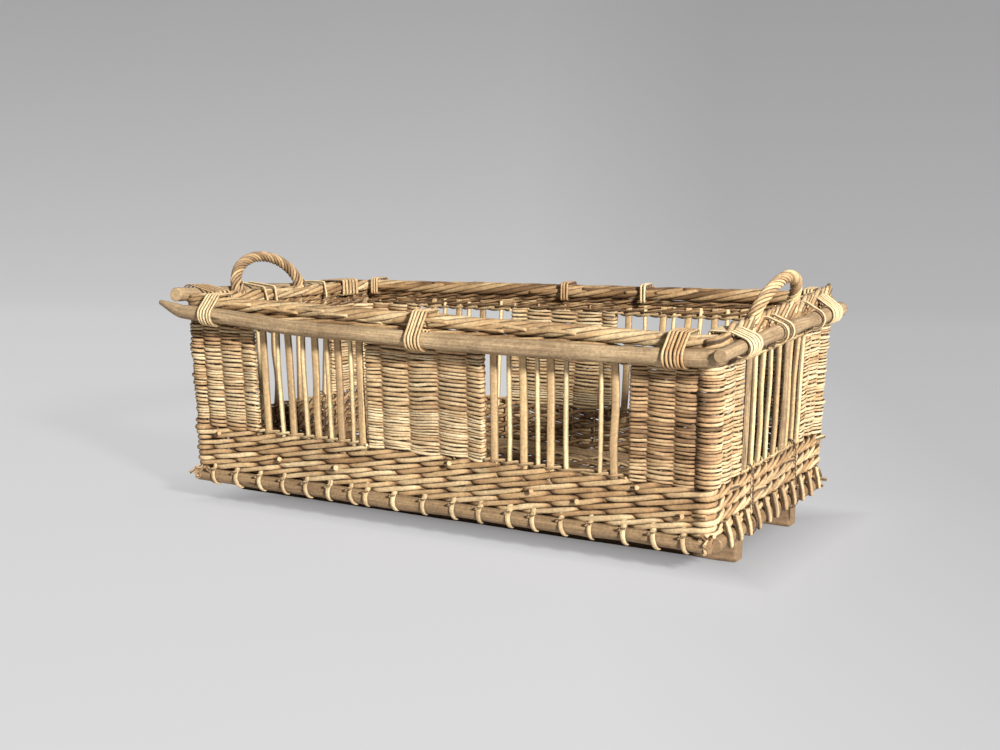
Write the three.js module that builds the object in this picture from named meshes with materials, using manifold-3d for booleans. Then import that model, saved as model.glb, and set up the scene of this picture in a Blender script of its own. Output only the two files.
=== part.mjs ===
// A large rectangular harvest basket of willow, on two wooden runners.
// Units are millimetres and +Z is up. X runs along the basket, Y from its front to its rear.
// The origin is on the ground under the middle of the basket.
import * as THREE from "three";
import { mergeVertices } from "three/addons/utils/BufferGeometryUtils.js";
import Module from "manifold-3d";

const wasm = await Module();
wasm.setup();

// Fits
const seat = 0.3; // gap between pieces that rest on each other
const caneGap = 0.7; // gap under a cane that is wound round other pieces
const overrun = 5; // how far a cutting shape passes what it cuts

// Walls, in plan, measured over their outside at the base poles
const wallLength = 920;
const wallWidth = 496;
const cornerRadius = 14; // of the line along the middle of the walls
const lengthLean = 6.3; // how far each end wall leans out by the top of the panels
const widthLean = 16; // how far the front and rear walls lean out there
const rimTwist = 14; // how far the rear right corner has risen with age there, and the rear left one sunk

// Runners and base
const runnerLength = 916;
const runnerWidth = 28;
const runnerHeight = 38;
const runnerSpacing = 248; // between the runners' centre lines
const basePoleRadius = 11.5;
const basePoleInset = 2; // of a base pole's axis from the wall's outside
const matThickness = 15;
const matEndRoom = 22; // of the mat from the wall's outside at each end, where the wires pass
const matRelief = 5.5; // how far the mat's faces fall where its strands pass under a stick
const matStickPitch = 46;
const matStrandPitch = 26; // of strands that are four rods side by side

// Heights and thicknesses of the woven courses
const lowerBandHeight = 71;
const lowerBandThickness = 20;
const stakePitch = 46;
const waleRounds = 4; // of three rods each, in the lower band
const waleLowCrest = 1.6; // half the height of a round's crest between two stakes, where one rod shows
const waleHighCrest = 5.2; // and at a stake, where two rods show, one over the other
const waleGroove = 4.5; // of the grooves between the rounds, from the middle of the wall
const waleBrim = 8.5; // of the band's lower and upper edges, from the middle of the wall
const panelHeight = 175;
const panelThickness = 14;
const upperBandHeight = 22;
const upperBandThickness = 18;
const borderHeight = 24;
const borderWidth = 28;

// Corner posts, and the woven columns round them
const postRadius = 8;
const columnRadius = 14;
const columnSides = 12;
const cornerSteps = 4; // of a course round a corner

// Where the panels end and the windows begin
const cornerPanelReach = 133; // along the front and rear, from the wall's end
const endWindowWidth = 266; // between the corner panels of an end
const centrePanelWidth = 210;
const frontPanelShift = -12; // of the front's centre panel, along the wall
const rearPanelShift = -26;

// Window bars: split bars alternate with round rods, between two pairing rows
const splitBarWidth = 13;
const splitBarDepth = 8;
const rodRadius = 4.2;
const endRodRadius = 4.8;
const pairingHeight = 6;
const barSides = 8;

// Shaved stake ends that hook round the base poles
const hookPitch = 46.8;
const hookWidth = 7;
const hookThickness = 3;
const hookStartDegrees = 80;
const hookEndDegrees = -75;
const hookSteps = 3;

// Rim poles, which lie outside the border
const rimPoleRadius = 12.5;
const sidePoleOverhang = 18; // past the axis of the end pole beside it
const endPoleOverhang = 40; // past the axis of the side pole beside it
const restingPoleOverhang = 13; // of the left pole, where it lies on the front pole
const sidePoleStop = 8.5; // short of the end pole at its other end
const sidePoleDrop = 27; // of the front and rear poles' ends, under the border's top
const sidePoleSag = 12; // of their middles, under their ends
const endPoleDrop = 19;
const poleSides = 10;
const poleSteps = 8;

// Cane windings
const caneRadius = 2.6;
const canePitch = 6.7;
const stripWidth = 10;
const stripThickness = 3;
const stripPitch = 11.5;
const stripTurns = 4;
const lashingPitch = 26;
const lashingGap = 16; // from a handle leg's axis to the nearest turn of its lashing
const caneSides = 5;
const poleArcSteps = 7;

// Handles: a bow with a roped cover, whose legs run down to the lower band
const handleSpan = 166; // between the legs' axes
const handleShiftShare = -0.1955; // of both handles along their end, of half its window's width
const handleRise = 54.5; // of the bow's axis over the border
const handleLean = 13; // outwards, at its top
const bowRadius = 5;
const ropeRadius = 9;
const legSocketDepth = 26;
const legSocketWall = 3;
const ropeGap = 0.6; // between the bow and its roped cover
const bowSides = 8;
const bowSteps = 12;
const archPoints = 9;

// Wire ties that hold the end walls down to the base
const wireRadius = 1.5;
const wireGap = 0.5;
const wireShare = 0.737; // of half an end window's width, from its middle to each tie
const wireSides = 6;

// Levels
const poleAxisLevel = runnerHeight + seat + basePoleRadius;
const bandBottom = poleAxisLevel + basePoleRadius + seat;
const bandTop = bandBottom + lowerBandHeight;
const panelBottom = bandTop + seat;
const panelTop = panelBottom + panelHeight;
const upperBandBottom = panelTop + seat;
const upperBandTop = upperBandBottom + upperBandHeight;
const borderBottom = upperBandTop + seat;
const borderTop = borderBottom + borderHeight;

// The rectangle along the middle of the walls
const halfLength = (wallLength - panelThickness) / 2;
const halfWidth = (wallWidth - panelThickness) / 2;
const basePoleX = wallLength / 2 - basePoleInset;
const basePoleY = wallWidth / 2 - basePoleInset;

// Distance of a rim pole's axis from the middle of the wall: a cane passes between pole and wall
const caneRoom = 2 * (caneRadius + caneGap);
const rimPoleOffset = upperBandThickness / 2 + caneRoom + rimPoleRadius;
const sidePoleY = halfWidth + rimPoleOffset;
const endPoleX = halfLength + rimPoleOffset;
const sidePoleEndLevel = borderTop - sidePoleDrop;
const endPoleLevel = borderTop - endPoleDrop;

const willow = new THREE.MeshStandardMaterial({ color: 0xc9a56b, roughness: 0.75, metalness: 0 });
const peeled = new THREE.MeshStandardMaterial({ color: 0xe0c184, roughness: 0.6, metalness: 0 });
const bark = new THREE.MeshStandardMaterial({ color: 0xb08d58, roughness: 0.8, metalness: 0 });
const plank = new THREE.MeshStandardMaterial({ color: 0x8c7450, roughness: 0.9, metalness: 0 });
const cane = new THREE.MeshStandardMaterial({ color: 0xdcc08c, roughness: 0.55, metalness: 0 });
const iron = new THREE.MeshStandardMaterial({ color: 0x3a342c, roughness: 0.7, metalness: 0.6 });

// The walls lean outwards evenly as they rise, and the rim's rear edge is twisted.
function settle(geometry) {
  const place = geometry.getAttribute("position");
  for (let i = 0; i < place.count; i++) {
    const [x, y, z] = [place.getX(i), place.getY(i), place.getZ(i)];
    const rise = Math.max(0, z - bandBottom) / (panelTop - bandBottom);
    const towardsRear = (1 + y / halfWidth) / 2;
    place.setXYZ(
      i,
      x * (1 + (rise * lengthLean) / halfLength),
      y * (1 + (rise * widthLean) / halfWidth),
      z + (rise * rimTwist * towardsRear * x) / halfLength,
    );
  }
  return geometry;
}

// A three.js geometry as a solid that can be cut and joined
function solidOf(geometry) {
  const bare = new THREE.BufferGeometry().setAttribute("position", geometry.getAttribute("position"));
  if (geometry.index) bare.setIndex(geometry.index);
  const merged = mergeVertices(bare);
  return new wasm.Manifold(
    new wasm.Mesh({
      numProp: 3,
      vertProperties: merged.getAttribute("position").array,
      triVerts: new Uint32Array(merged.index.array),
    }),
  );
}

function geometryOf(solid) {
  const { numProp, vertProperties, triVerts } = solid.getMesh();
  const place = new Float32Array((vertProperties.length / numProp) * 3);
  for (let i = 0; i * numProp < vertProperties.length; i++)
    place.set(vertProperties.subarray(i * numProp, i * numProp + 3), 3 * i);
  return new THREE.BufferGeometry()
    .setAttribute("position", new THREE.BufferAttribute(place, 3))
    .setIndex(new THREE.BufferAttribute(triVerts, 1));
}

function join(solids) {
  return solids.reduce((whole, next) => whole.add(next));
}

function cut(solid, cutters) {
  return cutters.reduce((rest, next) => rest.subtract(next), solid);
}

// A box from its lowest corner to its highest
function boxSolid(low, high) {
  const size = high.map((value, axis) => value - low[axis]);
  const middle = high.map((value, axis) => (value + low[axis]) / 2);
  return solidOf(new THREE.BoxGeometry(...size).translate(...middle));
}

// An upright rod, which may be flattened towards a depth across the wall
function uprightSolid(x, y, bottom, top, radius, sides, depthShare = 1) {
  return solidOf(
    new THREE.CylinderGeometry(radius, radius, top - bottom, sides)
      .rotateX(Math.PI / 2)
      .scale(1, depthShare, 1)
      .translate(x, y, (top + bottom) / 2),
  );
}

// The outline of a rectangle with round corners, counterclockwise
function roundedRectangle(path, halfX, halfY, radius) {
  const [x, y] = [halfX - radius, halfY - radius];
  path.absarc(x, y, radius, 0, Math.PI / 2, false);
  path.absarc(-x, y, radius, Math.PI / 2, Math.PI, false);
  path.absarc(-x, -y, radius, Math.PI, (3 * Math.PI) / 2, false);
  path.absarc(x, -y, radius, (3 * Math.PI) / 2, 2 * Math.PI, false);
  path.closePath();
  return path;
}

// A woven course that runs right round the basket, centred on the middle of the walls
function courseSolid(thickness, bottom, top) {
  const half = thickness / 2;
  const innerRadius = Math.max(cornerRadius - half, cornerRadius / 4);
  const shape = roundedRectangle(
    new THREE.Shape(), halfLength + half, halfWidth + half, cornerRadius + half,
  );
  shape.holes.push(roundedRectangle(new THREE.Path(), halfLength - half, halfWidth - half, innerRadius));
  const extruded = new THREE.ExtrudeGeometry(shape, {
    depth: top - bottom,
    bevelEnabled: false,
    curveSegments: cornerSteps,
  });
  return solidOf(extruded.translate(0, 0, bottom));
}

// The four corners, as signs of X and Y
const corners = [[-1, -1], [1, -1], [-1, 1], [1, 1]];
const cornerName = (sx, sy) => `${sy < 0 ? "front" : "rear"}_${sx < 0 ? "left" : "right"}`;
const postX = halfLength - cornerRadius * (1 - Math.SQRT1_2);
const postY = halfWidth - cornerRadius * (1 - Math.SQRT1_2);

function cornerColumns(radius, bottom, top, sides = columnSides) {
  return corners.map(([sx, sy]) => uprightSolid(sx * postX, sy * postY, bottom, top, radius, sides));
}

// Holes for the corner posts and the handles' legs, through every course that they pass
const handleY = (handleShiftShare * endWindowWidth) / 2;
const legYs = [handleY - handleSpan / 2, handleY + handleSpan / 2];

function postBores(bottom, top) {
  return cornerColumns(postRadius + seat, bottom - overrun, top + overrun, barSides);
}

function legSolids(side, radius, bottom, top) {
  return legYs.map((y) => uprightSolid(side * halfLength, y, bottom, top, radius, bowSides));
}

function legBores(bottom, top) {
  return [-1, 1].flatMap((side) => legSolids(side, bowRadius + seat, bottom, top));
}

const basket = new THREE.Group();

function addPiece(name, geometry, material) {
  const mesh = new THREE.Mesh(geometry, material);
  mesh.name = name;
  basket.add(mesh);
  return mesh;
}

// Runners lie under the base, along the basket
function addRunners() {
  for (const [name, side] of [["runner_front", -1], ["runner_rear", 1]]) {
    const runner = addPiece(name, new THREE.BoxGeometry(runnerLength, runnerWidth, runnerHeight), plank);
    runner.position.set(0, (side * runnerSpacing) / 2, runnerHeight / 2);
  }
}

// Base poles frame the woven mat of the base. The end ones fit between the long ones.
function addBase() {
  const longPole = new THREE.CylinderGeometry(basePoleRadius, basePoleRadius, 2 * basePoleX, poleSides);
  const shortLength = 2 * (basePoleY - basePoleRadius - seat);
  const shortPole = new THREE.CylinderGeometry(basePoleRadius, basePoleRadius, shortLength, poleSides);
  for (const [name, side] of [["base_pole_front", -1], ["base_pole_rear", 1]]) {
    const pole = addPiece(name, longPole, bark);
    pole.position.set(0, side * basePoleY, poleAxisLevel);
    pole.rotation.z = Math.PI / 2;
  }
  for (const [name, side] of [["base_pole_left", -1], ["base_pole_right", 1]]) {
    addPiece(name, shortPole, bark).position.set(side * basePoleX, 0, poleAxisLevel);
  }
  const mat = addPiece("base_mat", matGeometry(wallLength - 2 * matEndRoom, shortLength), willow);
  mat.position.z = runnerHeight + seat + matThickness / 2;
}

// The mat's strands pass over one stick and under the next, and each strand does it the other way round
// than its neighbours. So both faces of the mat rise and fall together, like an egg crate.
function matGeometry(length, width) {
  const sticks = Math.round(length / matStickPitch);
  const strands = Math.round(width / matStrandPitch);
  const geometry = new THREE.BoxGeometry(length, width, matThickness, sticks, strands, 1);
  const place = geometry.getAttribute("position");
  for (let i = 0; i < place.count; i++) {
    const stick = Math.round((place.getX(i) / length + 1 / 2) * sticks);
    const strand = Math.round((place.getY(i) / width + 1 / 2) * strands);
    const shift = (stick + strand) % 2 ? matRelief / 2 : -matRelief / 2;
    place.setZ(i, shift + (Math.sign(place.getZ(i)) * (matThickness - matRelief)) / 2);
  }
  return geometry;
}

// One shaved stake end: a strip that comes out of the lower band and hooks round a base pole.
// It is drawn with the pole's axis at the origin, outwards to +X and up to +Y, and is then stood in place.
function hookGeometry() {
  const start = THREE.MathUtils.degToRad(hookStartDegrees);
  const end = THREE.MathUtils.degToRad(hookEndDegrees);
  const inner = (basePoleRadius + seat) / Math.cos((start - end) / hookSteps / 2);
  const shape = new THREE.Shape();
  const at = (radius, step) => {
    const angle = start + ((end - start) * step) / hookSteps;
    return [radius * Math.cos(angle), radius * Math.sin(angle)];
  };
  shape.moveTo(...at(inner, 0));
  for (let step = 1; step <= hookSteps; step++) shape.lineTo(...at(inner, step));
  for (let step = hookSteps; step >= 0; step--) shape.lineTo(...at(inner + hookThickness, step));
  return new THREE.ExtrudeGeometry(shape, { depth: hookWidth, bevelEnabled: false })
    .translate(0, 0, -hookWidth / 2);
}

// Evenly pitched places along a wall, centred on it, clear of its corners
function hookPlaces(length) {
  const clearLength = length - 2 * (cornerRadius + columnRadius);
  const count = Math.floor(clearLength / hookPitch) + 1;
  return Array.from({ length: count }, (_, i) => (i - (count - 1) / 2) * hookPitch);
}

function hookSolids() {
  const upright = hookGeometry().rotateX(Math.PI / 2);
  const hookAt = (turn, x, y) => solidOf(upright.clone().rotateZ(turn).translate(x, y, poleAxisLevel));
  return [-1, 1].flatMap((side) => [
    ...hookPlaces(wallLength).map((x) => hookAt((side * Math.PI) / 2, x, side * basePoleY)),
    ...hookPlaces(wallWidth).map((y) => hookAt(((1 - side) * Math.PI) / 2, side * basePoleX, y)),
  ]);
}

// Stations along the middle line of the walls, counterclockwise: one at each stake and one between any two.
// A corner has one stake.
function wallStations() {
  const [straightX, straightY] = [halfLength - cornerRadius, halfWidth - cornerRadius];
  return [[1, -1], [1, 1], [-1, 1], [-1, -1]].flatMap(([sx, sy], quarter) => {
    const along = quarter % 2 ? 2 * straightX : 2 * straightY;
    const steps = 2 * Math.round(along / stakePitch);
    const corner = [0, 1, 2].map((step) => ({ angle: ((quarter - 1 + step / 2) * Math.PI) / 2, run: 0 }));
    const straight = Array.from({ length: steps - 1 }, (_, i) => ({
      angle: (quarter * Math.PI) / 2,
      run: ((i + 1) / steps) * along,
    }));
    return [...corner, ...straight].map(({ angle, run }) => ({
      outX: Math.cos(angle),
      outY: Math.sin(angle),
      x: sx * straightX + cornerRadius * Math.cos(angle) - run * Math.sin(angle),
      y: sy * straightY + cornerRadius * Math.sin(angle) + run * Math.cos(angle),
    }));
  });
}

// The section of three-rod waling, up its outside and down its inside, as distances outwards and levels.
// At a stake two rods of each round pass outside it and one inside. Between stakes one is outside.
function waleSection(atStake) {
  const crest = lowerBandThickness / 2;
  const half = atStake ? waleHighCrest : waleLowCrest;
  const outside = [[waleBrim, bandBottom]];
  const inside = [[-waleBrim, bandBottom]];
  for (let round = 0; round < waleRounds; round++) {
    const groove = bandBottom + (round * lowerBandHeight) / waleRounds;
    const middle = groove + lowerBandHeight / waleRounds / 2;
    if (round > 0) {
      outside.push([waleGroove, groove]);
      inside.push([-waleGroove, groove]);
    }
    outside.push([crest, middle - half], [crest, middle + half]);
    inside.push([atStake ? -crest : -waleGroove, middle]);
  }
  return [...outside, [waleBrim, bandTop], [-waleBrim, bandTop], ...inside.reverse()];
}

// The waling right round the basket: its section changes from station to station
function waledSolid() {
  const stations = wallStations();
  const sections = [waleSection(false), waleSection(true)];
  const size = sections[0].length;
  const points = stations.flatMap(({ x, y, outX, outY }, i) =>
    sections[i % 2].flatMap(([out, level]) => [x + out * outX, y + out * outY, level]),
  );
  const index = [];
  for (let i = 0; i < stations.length; i++) {
    const [here, next] = [i * size, ((i + 1) % stations.length) * size];
    for (let j = 0; j < size; j++) {
      const after = (j + 1) % size;
      index.push(here + j, next + j, next + after, here + j, next + after, here + after);
    }
  }
  const geometry = new THREE.BufferGeometry().setIndex(index);
  return solidOf(geometry.setAttribute("position", new THREE.Float32BufferAttribute(points, 3)));
}

// The lower band: thick courses of waling, with the hooks that hold the base poles and the weave round the
// feet of the handles' legs
function addLowerBand() {
  const footRadius = bowRadius + seat + legSocketWall;
  const footBottom = bandTop - legSocketDepth - legSocketWall;
  const band = join([
    waledSolid(),
    ...cornerColumns(columnRadius, bandBottom, bandTop),
    ...[-1, 1].flatMap((side) => legSolids(side, footRadius, footBottom, bandTop)),
    ...hookSolids(),
  ]);
  const sockets = legBores(bandTop - legSocketDepth, bandTop + overrun);
  const cutters = [...postBores(bandBottom, bandTop), ...sockets];
  addPiece("lower_band", settle(geometryOf(cut(band, cutters))), willow);
}

function addCornerPosts() {
  for (const [sx, sy] of corners) {
    const post = uprightSolid(sx * postX, sy * postY, bandBottom, upperBandTop, postRadius, barSides);
    addPiece(`corner_post_${cornerName(sx, sy)}`, settle(geometryOf(post)), bark);
  }
}

// Woven panels: one wraps each corner post, and one stands in the middle of each long wall
function addPanels() {
  const wall = join([
    courseSolid(panelThickness, panelBottom, panelTop),
    ...cornerColumns(columnRadius, panelBottom, panelTop),
  ]);
  const bores = postBores(panelBottom, panelTop);
  const partOfWall = (xs, ys) => {
    const [x, y] = [xs, ys].map((pair) => pair.toSorted((a, b) => a - b));
    const [low, high] = [panelBottom - overrun, panelTop + overrun];
    return wall.intersect(boxSolid([x[0], y[0], low], [x[1], y[1], high]));
  };
  const [endX, sideY] = [wallLength / 2, wallWidth / 2];
  for (const [sx, sy] of corners) {
    const xs = [sx * (endX - cornerPanelReach), sx * (endX + overrun)];
    const ys = [(sy * endWindowWidth) / 2, sy * (sideY + overrun)];
    const panel = cut(partOfWall(xs, ys), bores);
    addPiece(`corner_panel_${cornerName(sx, sy)}`, settle(geometryOf(panel)), willow);
  }
  for (const [wallName, side, shift] of [["front", -1, frontPanelShift], ["rear", 1, rearPanelShift]]) {
    const xs = [shift - centrePanelWidth / 2, shift + centrePanelWidth / 2];
    const ys = [side * (halfWidth - columnRadius), side * (sideY + overrun)];
    addPiece(`centre_panel_${wallName}`, settle(geometryOf(partOfWall(xs, ys))), willow);
  }
}

// Where the bars stand, as shares of half a window's width from its middle.
// The front's right window has lost a split bar.
const windowBars = {
  front_left: {
    splitShares: [-0.84, -0.38, 0.1, 0.52, 0.9],
    rodShares: [-0.59, -0.12, 0.32, 0.73],
  },
  front_right: {
    splitShares: [-0.87, -0.45, -0.06, 0.81],
    rodShares: [-0.65, -0.25, 0.15, 0.62],
  },
  rear_left: {
    splitShares: [-0.68, -0.14, 0.38],
    rodShares: [-0.44, 0.09, 0.77],
  },
  rear_right: {
    splitShares: [-0.83, -0.31, 0.06, 0.45, 0.855],
    rodShares: [-0.57, -0.14, 0.25, 0.65],
  },
};
const endRodShares = {
  left: [-0.93, -0.56, -0.24, 0.06, 0.3, 0.86],
  right: [-0.95, -0.52, -0.24, 0.02, 0.66, 0.93],
};

// The place in an end window that is nearest to the wanted one and keeps the room round each obstacle
function clearPlace(wanted, radius, obstacles) {
  const limit = endWindowWidth / 2 - radius - seat;
  const isClear = (place) =>
    Math.abs(place) < limit && obstacles.every(({ at, room }) => Math.abs(place - at) > radius + room);
  const edges = obstacles.flatMap(({ at, room }) => [at - radius - room - seat, at + radius + room + seat]);
  const distance = (place) => Math.abs(place - wanted);
  return [wanted, ...edges].filter(isClear).sort((a, b) => distance(a) - distance(b))[0];
}

// Along an end wall, its rods stand clear of the handle's legs
function endRodPlaces(hand) {
  const legs = legYs.map((at) => ({ at, room: bowRadius + seat }));
  return endRodShares[hand].map((share) => clearPlace((share * endWindowWidth) / 2, endRodRadius, legs));
}

// A window's bars stand between two pairing rows, which the woven panels beside it hold.
// The window runs along X at the given Y, from one X to the other.
function sideWindow(y, from, to, { splitShares, rodShares }) {
  const [middle, half] = [(from + to) / 2, (to - from) / 2];
  const across = panelThickness / 2;
  const rows = [panelBottom, panelTop - pairingHeight].map((row) =>
    boxSolid([from + seat, y - across, row], [to - seat, y + across, row + pairingHeight]));
  const bar = (share, radius, depthShare) =>
    uprightSolid(middle + share * half, y, panelBottom, panelTop, radius, barSides, depthShare);
  const splitDepthShare = splitBarDepth / splitBarWidth;
  const splitBars = splitShares.map((share) => bar(share, splitBarWidth / 2, splitDepthShare));
  const rods = rodShares.map((share) => bar(share, rodRadius, 1));
  return join([...rows, ...splitBars, ...rods]);
}

function endWindow(side, rodPlaces) {
  const half = endWindowWidth / 2;
  const [x, across] = [side * halfLength, panelThickness / 2];
  const rows = [panelBottom, panelTop - pairingHeight].map((row) =>
    boxSolid([x - across, seat - half, row], [x + across, half - seat, row + pairingHeight]));
  const rods = rodPlaces.map((y) =>
    uprightSolid(x, y, panelBottom, panelTop, endRodRadius, barSides, 1));
  return cut(join([...rows, ...rods]), legBores(panelBottom - overrun, panelTop + overrun));
}

function addWindows() {
  const outer = wallLength / 2 - cornerPanelReach;
  const half = centrePanelWidth / 2;
  for (const [wall, side, shift] of [["front", -1, frontPanelShift], ["rear", 1, rearPanelShift]]) {
    for (const [hand, from, to] of [["left", -outer, shift - half], ["right", shift + half, outer]]) {
      const grille = sideWindow(side * halfWidth, from, to, windowBars[`${wall}_${hand}`]);
      addPiece(`window_bars_${wall}_${hand}`, settle(geometryOf(grille)), peeled);
    }
  }
  for (const [hand, side] of [["left", -1], ["right", 1]])
    addPiece(`window_bars_end_${hand}`, settle(geometryOf(endWindow(side, endRodPlaces(hand)))), peeled);
}

// Windings. Each goes over the border, down round the rim pole's outside, up between pole and wall,
// and under the border through the upper band. In section, S is the distance outwards from the middle
// of the wall. A winding lies taut over three corners of the border and the pole, each taken as a circle.

// The direction of the outer normal of the straight stretch from one circle to the next, clockwise
function stretchNormal(from, to) {
  const [s, z] = [to.s - from.s, to.z - from.z];
  const cosine = (from.radius - to.radius) / Math.hypot(s, z);
  return Math.atan2(z, s) + Math.acos(Math.min(1, cosine));
}

// Points along a circle's rim, from one direction round to another
function arcPoints({ s, z, radius }, from, to, steps) {
  return Array.from({ length: steps + 1 }, (_, i) => {
    const angle = from + ((to - from) * i) / steps;
    return [s + radius * Math.cos(angle), z + radius * Math.sin(angle)];
  });
}

// One turn, as points of S and Z, off the surface by half the winding's thickness and a gap
function turnPoints(poleLevel, off) {
  const half = borderWidth / 2;
  const inside = { s: -half, z: borderBottom, radius: off };
  const overInside = { s: -half, z: borderTop, radius: off };
  const overOutside = { s: half, z: borderTop, radius: off };
  const pole = { s: rimPoleOffset, z: poleLevel, radius: rimPoleRadius + off };
  const flat = Math.PI / 2;
  const proud = stretchNormal(overOutside, pole) < flat; // the border's outer corner holds the winding out
  const last = proud ? overOutside : overInside;
  const down = stretchNormal(last, pole);
  const slotLevel = borderBottom - off;
  const under = pole.z - pole.radius < slotLevel; // the pole's underside is lower than the slot
  const mouth = { s: under ? pole.s - pole.radius : half + off, z: slotLevel, radius: 0 };
  const leave = (stretchNormal(pole, mouth) - 2 * Math.PI) % (2 * Math.PI);
  return [
    ...arcPoints(inside, (3 * Math.PI) / 2, Math.PI, 1),
    ...arcPoints(overInside, Math.PI, proud ? flat : down, 1),
    ...(proud ? arcPoints(overOutside, flat, down, 1) : []),
    ...arcPoints(pole, down, leave, poleArcSteps),
    [mouth.s, mouth.z],
  ];
}

// The winding's middle line: place along the wall, distance out from its middle, and height.
// The pole's level is a function of the place along it.
function windingLine(poleLevel, off, turns, pitch) {
  const steps = turnPoints(poleLevel(0), off).length;
  return Array.from({ length: turns * steps + 1 }, (_, i) => {
    const along = (i / steps - turns / 2) * pitch;
    const [s, z] = turnPoints(poleLevel(along), off)[i % steps];
    return new THREE.Vector3(along, s, z);
  });
}

// A tube of constant section along a line. The section's first axis runs along the wall.
function sweep(line, section) {
  const along = new THREE.Vector3(1, 0, 0);
  const place = [];
  const count = section.length;
  line.forEach((point, i) => {
    const before = line[Math.max(i - 1, 0)];
    const after = line[Math.min(i + 1, line.length - 1)];
    const heading = new THREE.Vector3().subVectors(after, before).normalize();
    const wide = along.clone().addScaledVector(heading, -heading.dot(along)).normalize();
    const out = new THREE.Vector3().crossVectors(heading, wide);
    for (const [a, b] of section) {
      const corner = point.clone().addScaledVector(wide, a).addScaledVector(out, b);
      place.push(corner.x, corner.y, corner.z);
    }
  });
  const index = [];
  for (let i = 0; i + 1 < line.length; i++)
    for (let j = 0; j < count; j++) {
      const [a, b] = [i * count + j, i * count + ((j + 1) % count)];
      index.push(a, b, b + count, a, b + count, a + count);
    }
  const last = (line.length - 1) * count;
  for (let j = 1; j + 1 < count; j++) index.push(0, j + 1, j, last, last + j, last + j + 1);
  return new THREE.BufferGeometry()
    .setAttribute("position", new THREE.Float32BufferAttribute(place, 3))
    .setIndex(index);
}

const roundCane = {
  wide: 2 * caneRadius,
  thick: 2 * caneRadius,
  corners: Array.from({ length: caneSides }, (_, i) => {
    const angle = (2 * Math.PI * i) / caneSides;
    return [caneRadius * Math.cos(angle), caneRadius * Math.sin(angle)];
  }),
};
const flatStrip = {
  wide: stripWidth,
  thick: stripThickness,
  corners: [[1, 1], [-1, 1], [-1, -1], [1, -1]].map(([a, b]) => [
    (a * stripWidth) / 2,
    (b * stripThickness) / 2,
  ]),
};

// The least gap between a winding's turns, from its middle line and its width along the wall
function leastGap(line, turns, width) {
  const halfTurn = Math.ceil(line.length / turns / 2);
  let least = Infinity;
  for (let i = 0; i < line.length; i++)
    for (let j = i + halfTurn; j < line.length; j++)
      least = Math.min(least, line[i].distanceTo(line[j]));
  return least - width;
}

// Stands what is drawn along a wall, such as a winding or a slot, at its own wall
const turnOf = { front: Math.PI, rear: 0, left: Math.PI / 2, right: -Math.PI / 2 };
const signOf = { front: -1, rear: 1, left: 1, right: -1 };

function atWall(geometry, wall, place) {
  const reach = wall === "front" || wall === "rear" ? halfWidth : halfLength;
  return geometry.translate(signOf[wall] * place, reach, 0).rotateZ(turnOf[wall]);
}

// The front and rear poles sag to their middles
function sidePoleLevel(x) {
  const share = x / halfLength;
  return sidePoleEndLevel - sidePoleSag * (1 - share * share);
}

// The right pole is level. The left one drops from its front end, which lies on the front pole.
const restingPoleFront = -(sidePoleY + restingPoleOverhang);
const endPoleReach = sidePoleY + endPoleOverhang;
const poleLevels = {
  front: sidePoleLevel,
  rear: sidePoleLevel,
  right: () => endPoleLevel,
  left: (y) => {
    const share = (y - restingPoleFront) / (endPoleReach - restingPoleFront);
    const top = sidePoleLevel(endPoleX) + 2 * rimPoleRadius + seat;
    return top + (endPoleLevel - top) * share;
  },
};

// Every winding: its wall, its place along it, its turns, pitch and section
const caneBindings = [
  { name: "binding_front_left", wall: "front", placeShare: -0.865, turns: 5 },
  { name: "binding_front_middle", wall: "front", placeShare: -0.012, turns: 5 },
  { name: "binding_front_right", wall: "front", placeShare: 0.9, turns: 6 },
  { name: "binding_rear_left", wall: "rear", placeShare: -0.93, turns: 3 },
  { name: "binding_rear_middle", wall: "rear", placeShare: -0.048, turns: 3 },
  { name: "binding_rear_centre_right", wall: "rear", placeShare: 0.284, turns: 2 },
  { name: "binding_rear_right", wall: "rear", placeShare: 0.93, turns: 3 },
];
const stripBindings = [
  { name: "binding_left_front", wall: "left", placeShare: -0.78 },
  { name: "binding_left_rear", wall: "left", placeShare: 0.7 },
  { name: "binding_right_front", wall: "right", placeShare: -0.83 },
  { name: "binding_right_rear", wall: "right", placeShare: 0.76 },
];
const lashingTurns = [2, 1]; // at each handle's front leg and rear leg

function windings() {
  const list = [
    ...caneBindings.map(({ placeShare, ...rest }) => {
      return { ...rest, place: placeShare * halfLength, pitch: canePitch, section: roundCane };
    }),
    ...stripBindings.map(({ placeShare, ...rest }) => {
      const place = placeShare * halfWidth;
      return { ...rest, place, turns: stripTurns, pitch: stripPitch, section: flatStrip };
    }),
  ];
  for (const wall of ["left", "right"])
    legYs.forEach((y, i) => {
      const turns = lashingTurns[i];
      const place = y + lashingGap + (turns * lashingPitch) / 2;
      const name = `handle_lashing_${wall}_${["front", "rear"][i]}`;
      list.push({ name, wall, place, turns, pitch: lashingPitch, section: roundCane });
    });
  return list;
}

function addWindings() {
  let least = Infinity;
  for (const { name, wall, place, turns, pitch, section } of windings()) {
    const poleLevel = (along) => poleLevels[wall](place + signOf[wall] * along);
    const line = windingLine(poleLevel, caneGap + section.thick / 2, turns, pitch);
    least = Math.min(least, leastGap(line, turns, section.wide));
    addPiece(name, settle(atWall(sweep(line, section.corners), wall, place)), cane);
  }
  console.log(`least gap between turns ${least.toFixed(2)} mm`);
}

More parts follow.
